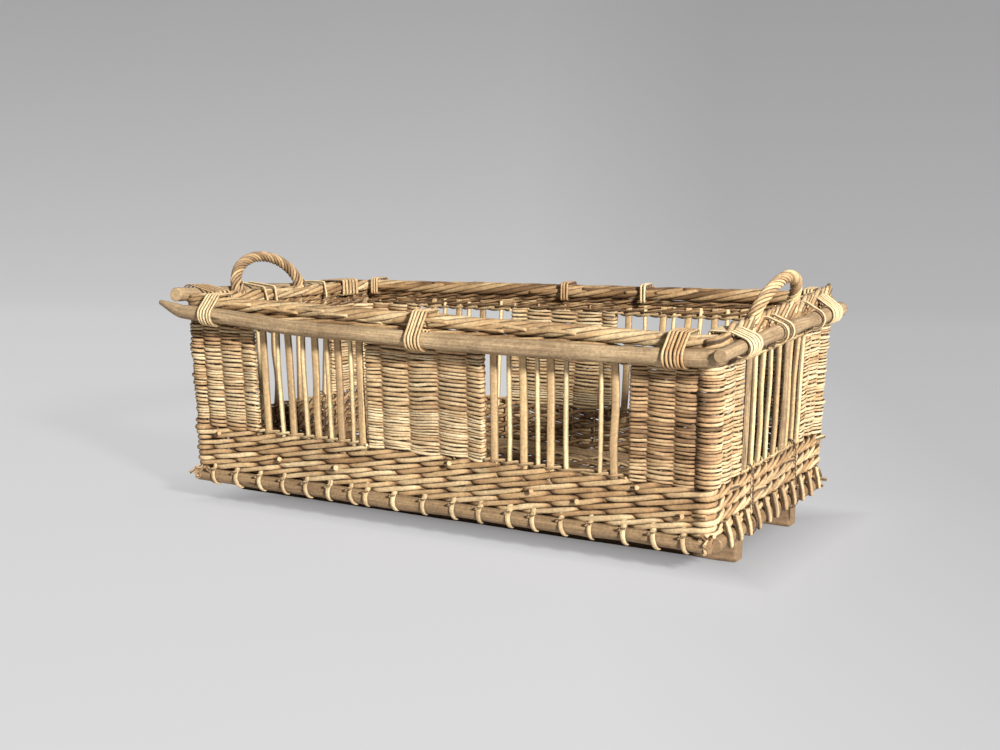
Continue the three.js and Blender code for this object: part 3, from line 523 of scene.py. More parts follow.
cane = finish_of("split_cane", shades((246, 226, 180), (230, 200, 150), (190, 150, 104), (120, 86, 54)),
                 along=24.0, around=2.0, weathering=0.15, bump=0.2, rough=(0.4, 0.6), crease=0.85,
                 crease_width=0.42)
board = finish_of("rough_board", shades((168, 140, 104), (148, 120, 88), (108, 84, 60), (62, 46, 32)),
                  along=7.0, around=9.0, weathering=0.5, bump=0.7, rough=(0.7, 0.9), depth=0.0015)
wire = finish_of("iron_wire", shades((168, 150, 128), (138, 120, 100), (104, 88, 72), (62, 50, 40)),
                 along=60.0, weathering=0.3, rough=(0.45, 0.7))
wire.node_tree.nodes["Principled BSDF"].inputs["Metallic"].default_value = 0.7
print(len(bpy.data.materials), "finishes")

# %% [markdown]
# The floor is one pale sheet, flat under the basket and curved up far behind it, so that no edge shows
# between floor and background. It is a profile carried sideways, square to the camera's view.

# %% Floor
view_right = np.array([math.cos(camera_yaw), math.sin(camera_yaw)])
view_ahead = np.array([-math.sin(camera_yaw), math.cos(camera_yaw)])
sheet_near, sheet_far, sheet_bend, sheet_top, sheet_half_width = -4.0, 3.0, 1.5, 4.0, 7.0


def floor_sheet():
    """Points and faces. The profile is flat, then a quarter circle up, then straight up."""
    flat_part = np.stack([np.linspace(sheet_near, sheet_far, 8), np.zeros(8)], 1)
    angle = np.linspace(0, math.pi / 2, 17)[1:]
    curve = np.stack([sheet_far + sheet_bend * np.sin(angle), sheet_bend - sheet_bend * np.cos(angle)], 1)
    profile = np.concatenate([flat_part, curve, [[sheet_far + sheet_bend, sheet_top]]])[:, None]
    side = np.linspace(-sheet_half_width, sheet_half_width, 3)[:, None]
    flat_xy = side * view_right + profile[..., :1] * view_ahead
    points = np.concatenate([flat_xy, np.broadcast_to(profile[..., 1:], flat_xy.shape[:2] + (1,))], -1)
    rows, columns = points.shape[:2]
    i, j = np.meshgrid(np.arange(rows - 1), np.arange(columns - 1), indexing="ij")
    first = (i * columns + j).ravel()
    return points.reshape(-1, 3), np.stack([first, first + 1, first + columns + 1, first + columns], 1)


floor_points, floor_faces = floor_sheet()
floor_mesh = bpy.data.meshes.new("floor")
floor_mesh.from_pydata(floor_points.tolist(), [], floor_faces.tolist())
floor_mesh.polygons.foreach_set("use_smooth", np.ones(len(floor_faces), bool))
floor = add_object("floor", floor_mesh)
print("floor of", len(floor_faces), "faces")

# %% [markdown]
# The photograph's background is a smooth grey, lighter below. The floor shows the camera that grey, and
# only part of it is lit by the lamps, so the basket's shadow stays as faint as in the photograph. Near
# the basket more of it is lit, and a soft shade lies under it and to its right, deepest below its middle.

# %% Floor paint
backdrop_greys = [(-1.0, 218), (0.3, 215), (1.05, 214), (2.55, 210), (3.65, 196), (4.85, 176), (5.6, 161)]
under_shade, right_shade = srgb(64, 58, 54), srgb(120, 120, 122)
shade_middle, shade_half, lit_half = (0.035, 0.012), (0.45, 0.2), (0.45, 0.24)
paint = bpy.data.materials.new("floor_paint")
paint.use_nodes = True
tree = paint.node_tree
paint_shader = tree.nodes["Principled BSDF"]
paint_shader.inputs["Base Color"].default_value = srgb(200, 199, 200)
paint_shader.inputs["Roughness"].default_value = 0.9
spot = add_node(tree, "SeparateXYZ", {0: object_place(tree)}).outputs


def along_floor(direction):
    """How far a point of the floor lies along a level direction: X and Y, each times the direction's."""
    x, y = (maths(tree, "MULTIPLY", spot[axis], share) for axis, share in zip("XY", direction))
    return maths(tree, "ADD", x, y)


def past_box(middle, half):
    """How far a point lies outside a rectangle, along X or along Y, whichever is more."""
    past = []
    for axis, centre, reach in zip("XY", middle, half):
        distance = maths(tree, "ABSOLUTE", maths(tree, "SUBTRACT", spot[axis], centre))
        past.append(maths(tree, "SUBTRACT", distance, reach))
    return maths(tree, "MAXIMUM", *past)


first_place, last_place = backdrop_greys[0][0], backdrop_greys[-1][0]
up_the_sheet = maths(tree, "ADD", along_floor(view_ahead), spot["Z"])
greys = add_node(tree, "ValToRGB", {0: spread(tree, up_the_sheet, first_place, last_place)})
stops = greys.color_ramp.elements
stops.remove(stops[1])
for where, grey in backdrop_greys:
    stops.new((where - first_place) / (last_place - first_place)).color = srgb(grey, grey - 1, grey)
stops.remove(stops[0])

edge_distance = past_box(shade_middle, shade_half)
shade = maths(tree, "ADD", spread(tree, edge_distance, -0.03, 0.07, 0.42, 0.0),
              spread(tree, edge_distance, -0.1, -0.03, 0.5, 0.0))
floor_grey = blend(tree, shade, greys.outputs[0], under_shade)
floor_grey = blend(tree, spread(tree, along_floor(view_right), 0.1, 0.9, 0.0, 0.33), floor_grey, right_shade)
shine = add_node(tree, "Emission", {"Color": floor_grey})
unlit = spread(tree, past_box((0.0, 0.0), lit_half), 0.0, 0.2, 0.7, 0.88)
shown = maths(tree, "MULTIPLY", unlit, add_node(tree, "LightPath").outputs["Is Camera Ray"])
paint_mix = add_node(tree, "MixShader", {0: shown, 1: paint_shader.outputs[0], 2: shine.outputs[0]})
tree.links.new(paint_mix.outputs[0], tree.nodes["Material Output"].inputs["Surface"])
floor_mesh.materials.append(paint)
print("floor paint of", len(tree.nodes), "nodes")

# %% [markdown]
# Randing is the plain weave of the panels: one thin rod goes outside a stake, inside the next, and comes
# back in the row above, so neighbouring rows are always on opposite sides. At the edge of a panel the
# weaver turns round the last stake and starts back. Each row here is one tube. Its wave comes from the
# stakes, and the turn at each end is a quarter circle that rises to meet the next row.

# %% Weave helpers
weaver_flatness, weaver_share, weaver_step = 0.8, 0.89, 0.0036
heft_range, heft_jitter, heft_limits = (0.66, 1.34), 0.12, (0.55, 1.5)
sag, level_jitter, thick_jitter, reach_jitter = 0.0018, 0.0005, 0.09, 0.12
weaver_tones, weaver_tone_jitter, crossing_shade, post_shade_width = (-0.15, 0.45), 0.13, 0.3, 0.03


def pass_stakes(place, stakes, reach):
    """How far out a weaver runs at each place. It is outside even stakes by their reach and inside odd
    ones. From one to the next it is eased by the hyperbolic tangent of a cosine."""
    k = np.clip(np.searchsorted(stakes, place, side="right") - 1, 0, len(stakes) - 2)
    share = np.clip((place - stakes[k]) / (stakes[k + 1] - stakes[k]), 0, 1)
    ease = 0.5 - 0.5 * np.tanh(np.cos(np.pi * share)) / math.tanh(1.0)
    sign = np.where(k % 2 == 0, 1.0, -1.0)
    return sign * (reach[k] * (1 - ease) - reach[k + 1] * ease)


def rod_tones(count, low, high, run=3, jitter=0.07):
    """Values for rows of weavers: neighbours that are one long rod share a value, then it changes."""
    groups = chance.uniform(low, high, count // run + 2).repeat(run)
    return groups[:count] + chance.normal(0, jitter, count)


def randing(bundle, stakes, reach, rows, shade):
    """Rows of weavers between the panel's levels, each a quarter turn longer at both ends. A thick rod
    takes more of the height than a thin one. The shade darkens what faces the front, the post most."""
    pitch = (panel_top - panel_bottom) / rows
    quarter = np.linspace(math.pi / 2, 0, 6)[:-1]
    back = quarter[::-1]
    body = np.linspace(stakes[0], stakes[-1], int((stakes[-1] - stakes[0]) / weaver_step))
    place = np.concatenate([
        stakes[0] - reach[0] * np.sin(quarter), body, stakes[-1] + reach[-1] * np.sin(back)])
    last_sign = 1 if len(stakes) % 2 else -1
    out = np.concatenate([reach[0] * np.cos(quarter), pass_stakes(body, stakes, reach),
                          last_sign * reach[-1] * np.cos(back)])
    climb = np.concatenate([-np.sin(quarter) ** 2, np.zeros(len(body)), np.sin(back) ** 2])
    way = np.where(np.arange(rows) % 2, -1.0, 1.0)[:, None]

    heft = np.clip(rod_tones(rows, *heft_range, jitter=heft_jitter), *heft_limits)
    share = ((np.cumsum(heft) - heft / 2) / heft.sum())[:, None]
    waves = wander(2, len(place), 5, sag)
    level = panel_bottom + share * (panel_top - panel_bottom)
    level = level + (waves[0] * share + waves[1] * (1 - share)) * np.sin(np.pi * share)
    level = level + way * climb * pitch / 2 + wander(rows, len(place), 11, level_jitter)
    thick = weaver_share * pitch * heft[:, None] ** 0.8 * (1 + wander(rows, len(place), 9, thick_jitter))

    # Painted shade: a weaver is darker where it crosses from one side of the stakes to the other, behind its
    # neighbours
    tucked = crossing_shade * (1 - np.abs(out / np.abs(out).max())) ** 2
    tone = rod_tones(rows, *weaver_tones)[:, None] + tucked
    tone = tone + wander(rows, len(place), 12, weaver_tone_jitter)
    near_post = np.exp(-((place - stakes[np.argmax(reach)]) / post_shade_width) ** 2)
    tone = tone + shade * (1 + near_post) * np.clip(-outwards(place)[:, 1], 0, 1)
    path = on_wall(place, way * out * (1 + wander(rows, len(place), 7, reach_jitter)), level)
    rods(bundle, path, thick, outwards(place), tone, flat=weaver_flatness)


def uprights(bundle, places, out, bottom, top, radius, tone, bow=0.0012, steps=12, **section):
    """Standing rods at places along the wall, slightly bowed at random."""
    level = np.linspace(0, 1, steps)
    sway = wander(len(places), steps, 3, bow)
    lean = wander(len(places), steps, 2, bow / 2)
    path = on_wall(places[:, None] + sway, out + lean, bottom + level * (top - bottom))
    rods(bundle, path, radius, outwards(places)[:, None], tone, **section)


print("panels from", panel_bottom, "to", panel_top)

# %% [markdown]
# Four panels wrap the corners, each round its corner post, and two stand in the middle of the long walls.
# The stakes are where the photograph shows the ribs of the weave. Both front corners lie in some shade.

# %% Panels
panel_reach, post_reach, panel_rows = 0.0048, 0.0095, 62
stake_radius, stake_tone, stake_tuck = 0.0026, 0.5, 0.01
centre_stakes = {
    "front": [-0.1105, -0.0665, -0.0135, 0.038, 0.0865],
    "rear": [-0.1245, -0.077, -0.026, 0.025, 0.0725],
}
corner_place = straight_x + bend / 2
corner_panels = {
    "front_right": (corner_place, 0.32), "rear_right": (perimeter / 2 - corner_place, 0.0),
    "rear_left": (perimeter / 2 + corner_place, 0.0), "front_left": (perimeter - corner_place, 0.16),
}
long_side, end_side = np.array([0.033, 0.073, 0.1157]), np.array([0.05, 0.0972])


def woven_panel(kind, where, stakes, reach, shade=0.0):
    """One panel as a piece: its rows and its stakes. A corner post is a piece of its own."""
    weave = Bundle()
    randing(weave, stakes, reach, panel_rows, shade)
    uprights(weave, stakes[reach == panel_reach], 0.0, band_top - stake_tuck, panel_top + stake_tuck,
             stake_radius, stake_tone, sides=6)
    piece(f"weave_{kind}_{where}", weave, willow, "willow", f"{kind}_panel_{where}")


for wall, stake_x in centre_stakes.items():
    woven_panel("centre", wall, np.sort(place_of(wall, np.array(stake_x))), np.full(5, panel_reach))
for corner, (middle, shade) in corner_panels.items():
    before, after = (long_side, end_side) if corner in ("front_right", "rear_left") else (end_side, long_side)
    stakes = np.concatenate([middle - before[::-1], [middle], middle + after])
    woven_panel("corner", corner, stakes, np.where(stakes == middle, post_reach, panel_reach), shade)

# %% [markdown]
# Waling is a thicker weave. Three rods travel together: each in turn goes in front of two stakes and
# behind the third. So two rods always show, one above the other, in long strokes that climb a little and
# tuck under the next. Four such rounds make the lower band, which gives the basket its strength.

# %% Waling
corner_stops = np.add.outer(np.arange(4) * perimeter / 2, [-corner_place, corner_place]).ravel()
long_stakes, end_stakes = 20, 16
stake_numbers = np.cumsum([-long_stakes // 2] + [long_stakes, end_stakes] * 3 + [long_stakes])
corner_swell, swell_width, waling_flatness = 0.95, 0.012, 0.86
tucked_shade, inside_shade, visible_size, hidden_size = 0.75, 0.3, 0.2, 0.82


def rod_runs(count, steps, tone_range, pieces=5):
    """A course is many rods, joined end to end at random places. Each has one tone, and tapers from its
    butt to its tip. Which rod a point lies on is found by counting the joints before it."""
    joints = np.sort(chance.uniform(0, 1, (count, pieces)), 1)
    at = np.linspace(0, 1, steps)
    passed = (at[None, :, None] >= joints[:, None, :]).sum(-1)
    tone = np.take_along_axis(chance.uniform(*tone_range, (count, pieces)), passed % pieces, 1)
    edges = np.concatenate([joints[:, -1:] - 1, joints, joints[:, :1] + 1], 1)
    low, high = (np.take_along_axis(edges, passed + later, 1) for later in (0, 1))
    share = (at - low) / np.maximum(high - low, 1e-6)
    return tone, (1.08 - 0.2 * share) * varied(0.92, 1.06, count)


def wale(bundle, centre, rounds, pitch, radius, reach, climb, tone_range, step=0.0055):
    """Rounds of three-rod waling round the whole basket. With the place counted in stakes, one in each
    corner, a rod's stroke comes round every three. It is outside where the cosine of its phase is over
    minus a half, and rises with the sine, less a little of the double sine, which straightens the stroke.
    Round a corner it swells out, by a Gaussian, to clear the post."""
    steps = int(perimeter / step)
    place = perimeter / 2 + corner_place + np.linspace(0, perimeter, steps)
    rod = np.arange(3 * rounds)
    turn = 2 * np.pi * (np.interp(place, corner_stops, stake_numbers) + 0.5 + rod[:, None]) / 3
    pass_side = np.tanh(1.5 * (np.cos(turn) + 0.5))
    from_corner = np.abs(place[:, None] - corner_stops).min(1)
    swell = 1 + corner_swell * np.exp(-(from_corner / swell_width) ** 2)
    out = reach * pass_side * swell * (1 + wander(len(rod), steps, 50, 0.1, closed=True))
    rise = climb * (np.sin(turn) - 0.2 * np.sin(2 * turn))
    level = centre + (rod // 3 - (rounds - 1) / 2)[:, None] * pitch + rise
    level = level + wander(1, steps, 24, 0.0011, closed=True)
    level = level + wander(len(rod), steps, 70, 0.0006, closed=True)
    tone, thick = rod_runs(len(rod), steps, tone_range)
    # Painted shade: a rod is darker where it tucks behind a stake, and darker again along the inside
    tone = tone + tucked_shade * (1 - np.abs(pass_side)) ** 2 + inside_shade * (pass_side < 0)
    thick = thick * (hidden_size + visible_size * np.clip(pass_side, 0, 1))
    tone = tone + wander(len(rod), steps, 90, 0.1, closed=True)
    rods(bundle, on_wall(place, out, level), radius * thick, outwards(place), tone, flat=waling_flatness)


lower_band = Bundle()
wale(lower_band, (band_bottom + band_top) / 2, rounds=4, pitch=0.01775, radius=0.0047, reach=0.0056,
     climb=0.0062, tone_range=(-0.1, 0.6))
print("points in the waling", lower_band.count)

# %% [markdown]
# Where a new rod joins the waling, the butt of the old one is left sticking out and is cut at a slant. A
# few such ends show on the photograph's lower band. Each is a short tube that leaves the weave.

# %% Butt ends
butt_places = np.array([-0.42, -0.3, -0.19, 0.02, 0.16, 0.235, 0.33, 0.4, 0.428, 0.5, 0.62, 0.75, 0.9, 1.02,
                        1.2, 1.33, 1.5, 1.63, 1.8, 1.94, 2.1, 2.2])
butts, butt_length, butt_out, butt_rise, butt_radius = len(butt_places), 0.018, 0.0115, 0.004, 0.0036
butt_levels = np.where(np.arange(butts) % 3 == 0, 0.122, chance.uniform(0.075, 0.125, butts))
along = np.linspace(0, 1, 6)
butt_path = on_wall((butt_places[:, None] + butt_length * along), 0.004 + butt_out * along ** 1.5,
                    butt_levels[:, None] + butt_rise * along)
rods(lower_band, butt_path, butt_radius * varied(0.85, 1.15, butts), (0.0, 0.0, 1.0),
     chance.uniform(0.0, 0.5, butts))
print(butts, "butt ends")

# %% [markdown]
# The stakes end below the band. Each is shaved to a pale ribbon, twisted so that it doesn't break, and
# hooked round the base pole. A hook is a flattened tube along an arc round the pole. It starts thick,
# with the twist as a small knot, narrows to a point under the pole, and leans to the right.

# %% Hooks
pole_level, pole_out, base_pole_radius = 0.0498, 0.005, 0.0115
front_hooks = np.array([-423, -377, -329, -281, -236, -190, -150, -118, -68, -13, 39, 87, 137, 177, 224, 272,
                        325, 371, 418]) / 1000
rear_hooks = (np.arange(19) - 9) * 0.0468 + chance.uniform(-0.006, 0.006, 19)
hook_places = np.concatenate([place_of("front", front_hooks), place_of("rear", rear_hooks)])
hooks, hook_gap = len(hook_places), 0.0017


def hook_path(places, lean):
    """An arc round the base pole, from 95 to -85 degrees about its axis, that drifts along it by the lean.
    It begins inside the band's lowest round."""
    share = np.linspace(0, 1, 18)
    angle = np.radians(95 - 180 * share)
    radius = base_pole_radius + hook_gap
    out = pole_out + radius * np.cos(angle)
    level = pole_level + radius * np.sin(angle)
    out[0] += 0.001
    level[:2] += [0.012, 0.004]
    return on_wall(places[:, None] + lean[:, None] * share ** 1.3, out, level), share


path, share = hook_path(hook_places, chance.normal(0.009, 0.0035, hooks))
wide = np.interp(share, [0, 0.12, 0.3, 0.75, 1], [0.0045, 0.006, 0.0052, 0.004, 0.0014])
rods(lower_band, path, wide * varied(0.88, 1.15, hooks), outwards(hook_places)[:, None],
     chance.uniform(-0.1, 0.22, hooks), flat=0.42)

# The twist of each hook: a small closed ring that lies on it at a slant
knot_radius, knot_half_width, knot_half_depth, knot_half_height = 0.0019, 0.0046, 0.0026, 0.0034 / 2
knot_turn = np.linspace(0, 2 * math.pi, 13)
knot_out = pole_out + base_pole_radius + 0.0005 + knot_half_depth * np.cos(knot_turn)
knot_level = pole_level + 0.0115 + knot_half_height * np.sin(knot_turn) + 0.002 * np.cos(knot_turn)
knot_path = on_wall(hook_places[:, None] + knot_half_width * np.sin(knot_turn), knot_out, knot_level)
rods(lower_band, knot_path, knot_radius, (0.0, 0.0, 1.0), chance.uniform(0.0, 0.4, hooks), sides=6)
print(hooks, "hooks")

# %% [markdown]
# On the end walls the stakes' thick butts come straight down over the pole, like a row of pegs.

# %% Pegs
pegs, peg_pitch, peg_top, peg_length = 22, 0.0418, 0.081, 0.038
peg_y = np.tile((np.arange(pegs // 2) - 5) * peg_pitch, 2) + chance.uniform(-0.004, 0.004, pegs)
peg_places = np.concatenate([place_of("right", peg_y[:pegs // 2]), place_of("left", peg_y[pegs // 2:])])
share = np.linspace(0, 1, 16)
peg_out = np.interp(share, [0, 0.5, 0.8, 1], [0.0115, 0.0175, 0.0195, 0.0198])
peg_level = peg_top - (peg_length + varied(-0.004, 0.003, pegs)) * share
peg_path = on_wall(peg_places[:, None] + chance.normal(0, 0.002, (pegs, 1)) * share, peg_out, peg_level)
peg_radius = np.interp(share, [0, 0.2, 0.8, 0.95, 1], [0.0044, 0.0054, 0.0055, 0.0052, 0.0044])
rods(lower_band, peg_path, peg_radius * varied(0.85, 1.12, pegs), outwards(peg_places)[:, None],
     chance.uniform(-0.1, 0.4, pegs), flat=0.85)
print(pegs, "pegs")

# %% [markdown]
# In each bottom corner the ends of several stakes are tucked together and cut short, which leaves a small
# tangle of stubs round the pole. Between the corners, stakes stand inside the waling and keep its rods
# apart.

# %% Corner stubs and stakes
corners = {"front_right": (1, -1), "rear_right": (1, 1), "rear_left": (-1, 1), "front_left": (-1, -1)}
stubs, stub_length, stub_radius = 7, 0.024, 0.0031
stub_x, stub_y, stub_level, stub_scatter = 0.447, 0.2475, 0.055, (0.009, 0.004, 0.006)
for sx, sy in corners.values():
    heading = unit(chance.normal(0, 0.7, (stubs, 3)) + (sx * 0.5, sy, -0.2))
    middle = (sx * stub_x, sy * stub_y, stub_level) + chance.normal(0, 1, (stubs, 3)) * stub_scatter
    stub_path = middle[:, None] + heading[:, None] * np.linspace(-0.5, 0.5, 5)[:, None] * stub_length
    rods(lower_band, stub_path, stub_radius * varied(0.75, 1.2, stubs), (0.1, 0.2, 1.0),
         chance.uniform(0.1, 0.8, stubs))

first_number, last_number = 1 - long_stakes // 2, 2 * (long_stakes + end_stakes) - long_stakes // 2
between = np.interp(np.arange(first_number, last_number), stake_numbers, corner_stops)
between = between[np.abs(between[:, None] - corner_stops).min(1) > 0.01]
uprights(lower_band, between, 0.0, band_bottom + 0.002, band_top - 0.003, 0.0032, 0.6, sides=6)
piece("waled_lower_band", lower_band, waling, "willow", "lower_band")

# %% [markdown]
# Poles are branches. Their surface swells and dips, they bend a little, and knots stand proud. A pole is
# a tube whose radius depends on the length and the angle, worked out for the whole grid at once.

# %% Poles
worn_edge, knot_length, knot_heights = 0.0012, 0.011, (0.08, 0.18)


def metres_along(line):
    """How far each point of a line lies from its start: the running sum of its steps."""
    return np.concatenate([[0], np.cumsum(np.linalg.norm(np.diff(line, axis=0), axis=1))])


def resampled(line, at):
    """Points at given distances along a line, and as many numbers in each as its own points have."""
    length = metres_along(line)
    return np.stack([np.interp(at, length, column) for column in line.T], 1)


def branch(bundle, line, radius, tone, bumps, crook, steps, sides=20, swell=0.05, taper=(1.0, 1.0)):
    """A natural pole along a line. The line is resampled and bent by slow random waves. The radius swells
    with sines of the length and angle, and each knot adds a Gaussian bump. The taper gives the radius at
    evenly spaced places. The ends are cut flat, with a small worn edge."""
    whole = metres_along(line)[-1]
    edge = worn_edge / whole
    at = np.concatenate([[0], np.linspace(edge, 1 - edge, steps - 2), [1]])
    path = resampled(line, at * whole) + wander(3, steps, 7, crook).T
    thick = radius * (1 + wander(1, steps, 9, swell * 0.6)[0])
    thick = thick * np.interp(at, np.linspace(0, 1, len(taper)), taper)
    thick[[0, -1]] *= 0.92
    points = rods(bundle, path[None], thick, (0.3, 0.2, 1.0), tone, sides=sides)[0]
    angle = 2 * np.pi * np.arange(sides) / sides
    metres = at[:, None] * whole
    relief = swell * np.sin(2 * angle + 9 * metres + chance.uniform(0, 6)) * 0.4
    relief = relief + swell * np.sin(3 * angle - 23 * metres + chance.uniform(0, 6)) * 0.3
    for _ in range(bumps):
        where, side = chance.uniform(0.05, 0.95) * whole, chance.uniform(0, 2 * np.pi)
        off = (np.cos(angle - side) - 1) * 6
        relief = relief + chance.uniform(*knot_heights) * np.exp(off - ((metres - where) / knot_length) ** 2)
    points[:] = path[:, None] + (points - path[:, None]) * (1 + relief[..., None])


def branch_piece(name, node, line, radius, tone, **ways):
    """A branch as a piece with bark."""
    pole = Bundle()
    branch(pole, line, radius, tone, **ways)
    piece(name, pole, bark, "bark_pole", node)


base_x, base_y = 0.458, 0.246
short_y = base_y - base_pole_radius - 0.0003
base_ends = {"front": (-base_x, -base_y, base_x, -base_y), "rear": (base_x, base_y, -base_x, base_y),
             "right": (base_x, -short_y, base_x, short_y), "left": (-base_x, short_y, -base_x, -short_y)}
for wall, (x, y, end_x, end_y) in base_ends.items():
    line = np.array([(x, y, pole_level), (end_x, end_y, pole_level)])
    branch_piece(f"branch_base_{wall}", f"base_pole_{wall}", line, base_pole_radius, 0.6, bumps=9, swell=0.07,
                 crook=0.0006, steps=220, taper=(1.0, 0.95))

post_inset, post_radius = corner_radius * (1 - math.sqrt(0.5)), 0.0076
post_level = np.linspace(band_bottom, upper_band_top, 9)
for corner, (sx, sy) in corners.items():
    post_x, post_y = sx * (half_length - post_inset), sy * (half_width - post_inset)
    line = settle(np.stack(np.broadcast_arrays(post_x, post_y, post_level), 1))
    branch_piece(f"branch_post_{corner}", f"corner_post_{corner}", line, post_radius, 0.5, bumps=2, steps=60,
                 crook=0.0002, sides=12)

# %% [markdown]
# The base is a woven mat: stout sticks run across the basket, and thinner rods go over and under them
# along it, four side by side. It shows through the windows and from above. Each row is a cosine over the
# sticks, and each strand of four goes the other way round than its neighbours, as on the CAD mat.

# %% Base mat
mat = Bundle()
mat_level, mat_half_length, mat_half_width = 0.0458, 0.4445, 0.2335
sticks, strands, rods_in_strand = 18, 18, 4
stick_pitch, strand_pitch = 0.876 / (sticks + 1), 0.4684 / strands
stick_radius, stick_steps, mat_rod_radius, mat_rise = 0.0036, 14, 0.0031, 0.0044
stick_x = stick_pitch * (np.arange(sticks)[:, None] - (sticks - 1) / 2)
stick_x = stick_x + wander(sticks, stick_steps, 3, 0.002)
across = np.linspace(-mat_half_width, mat_half_width, stick_steps)
stick_path = np.stack(np.broadcast_arrays(stick_x, across, mat_level), -1)
rods(mat, stick_path, stick_radius, (0.0, 0.0, 1.0), chance.uniform(0.3, 0.7, sticks))

rows, steps = strands * rods_in_strand, 150
row_y = (np.arange(rows) - (rows - 1) / 2) * strand_pitch / rods_in_strand
along = np.linspace(-mat_half_length, mat_half_length, steps)
wave = mat_rise * np.cos(np.pi * (along / stick_pitch + (sticks + 1) / 2))
way = np.where(np.round(row_y / strand_pitch) % 2, -1.0, 1.0)[:, None]
row_y = row_y[:, None] + wander(rows, steps, 12, 0.0005)
row_path = np.stack(np.broadcast_arrays(along, row_y, mat_level + way * wave), -1)
rods(mat, row_path, mat_rod_radius * varied(0.85, 1.1, rows), (0.0, 1.0, 0.0),
     rod_tones(rows, 0.3, 0.9), sides=6)
piece("woven_base_mat", mat, willow, "willow", "base_mat")

# %% [markdown]
# The runners are rough sawn boards on edge, dry and grey-brown, with their lower edges worn round where
# they have been dragged. Each is a boxy tube: a ring whose cosine and sine are raised to a small power.

# %% Runners
runner_length, runner_width, runner_height, runner_y = 0.916, 0.028, 0.038, 0.124
boxiness, saw_marks, hollows, board_edge = 0.16, 0.00025, 0.0006, 0.002


def plank(bundle, middle_y, length, width, height, steps=190, sides=40):
    """A board along X. The section is a superellipse, width by height, and saw marks shift its points."""
    x = np.linspace(-length / 2, length / 2, steps)
    path = np.stack(np.broadcast_arrays(x, middle_y, height / 2), 1)
    ends = np.minimum(x + length / 2, length / 2 - x)
    thick = height / 2 * np.where(ends < board_edge, 0.95 + 0.05 * ends / board_edge, 1.0)
    points = rods(bundle, path[None], thick, (0.0, 1.0, 0.0), 0.4, sides=sides, flat=width / height,
                  squareness=boxiness)[0]
    marks = wander(sides, steps, 60, saw_marks).T + wander(1, steps, 12, hollows)[0][:, None]
    towards = unit(points - path[:, None])
    towards[..., 0] = 0
    points -= towards * np.abs(marks)[..., None]
    points[..., 2] = np.clip(points[..., 2], 0.0, height)


for side, name in ((-1, "front"), (1, "rear")):
    wood = Bundle()
    plank(wood, side * runner_y, runner_length, runner_width, runner_height)
    piece(f"board_runner_{name}", wood, board, "runner_wood", f"runner_{name}")

# %% [markdown]
# The windows are open. Split bars, flat on one side, stand between thin round rods, peeled and pale. They
# run down behind the top of the lower band and up into the upper one. Two fine rods twist round them at
# the sill and at the head, which keeps them apart: this is pairing.

# %% Window bars
window_edges = {
    "front_left": (-0.327, -0.117), "front_right": (0.093, 0.327),
    "rear_left": (-0.327, -0.131), "rear_right": (0.079, 0.327),
}
bar_shares = {
    "front_left": ([-0.84, -0.38, 0.1, 0.52, 0.9], [-0.59, -0.12, 0.32, 0.73]),
    "front_right": ([-0.87, -0.45, -0.06, 0.81], [-0.65, -0.25, 0.15, 0.62]),
    "rear_left": ([-0.68, -0.14, 0.38], [-0.44, 0.09, 0.77]),
    "rear_right": ([-0.83, -0.31, 0.06, 0.45, 0.855], [-0.57, -0.14, 0.25, 0.65]),
}
end_rod_shares = {
    "left": [-0.93, -0.56, -0.24, 0.06, 0.3, 0.86],
    "right": [-0.62, -0.38, -0.13, 0.11, 0.55, 0.78, 0.97],
}
end_window_half, handle_legs = 0.133, {"front": -0.109, "rear": 0.057}
bar_foot, bar_head = band_top - 0.024, panel_top + 0.012
sill_level, head_level = panel_bottom + 0.003, panel_top - 0.003
split_half_width, round_radius, end_rod_radius = 0.0062, 0.0041, 0.0043


def pairing(bundle, posts_at, edges, level, reach=0.0062, radius=0.0022, lift=0.0021):
    """Two rods twisted round posts. From one post to the next each swings from one side to the other as a
    cosine, while the one going in passes over the one coming out, as a sine."""
    posts_at = np.sort(np.concatenate([[edges[0]], posts_at, [edges[1]]]))
    place = np.linspace(edges[0], edges[1], int((edges[1] - edges[0]) / 0.003))
    k = np.clip(np.searchsorted(posts_at, place, side="right") - 1, 0, len(posts_at) - 2)
    share = (place - posts_at[k]) / (posts_at[k + 1] - posts_at[k])
    sign = np.where(k % 2 == 0, 1.0, -1.0) * np.array([[1.0], [-1.0]])
    out, up = sign * reach * np.cos(np.pi * share), sign * lift * np.sin(np.pi * share)
    rods(bundle, on_wall(place, out, level + up), radius, (0.0, 0.0, 1.0), chance.uniform(0.1, 0.7, 2))


def finish_window(name, wall, bars, posts_at, edges):
    """The pairing at a window's sill and head, and its bars as one piece."""
    ends = np.sort(place_of(wall, np.array(edges)))
    for level in (sill_level, head_level):
        pairing(bars, posts_at, ends, level)
    piece(f"bars_{name}", bars, peeled, "peeled_willow", f"window_bars_{name}")


for name, edges in window_edges.items():
    wall, bars = name.split("_")[0], Bundle()
    middle, half = (edges[0] + edges[1]) / 2, (edges[1] - edges[0]) / 2
    split_at, round_at = (place_of(wall, middle + np.array(shares) * half) for shares in bar_shares[name])
    uprights(bars, split_at, 0.0, bar_foot, bar_head, split_half_width, varied(0.35, 0.7, len(split_at)),
             bow=0.0006, steps=24, flat=0.5, squareness=0.6, sides=12)
    uprights(bars, round_at, -0.001, bar_foot + 0.01, bar_head,
             round_radius * varied(0.9, 1.1, len(round_at)), varied(-0.1, 0.2, len(round_at)), bow=0.0007,
             steps=24)
    finish_window(name, wall, bars, np.concatenate([split_at, round_at]), edges)

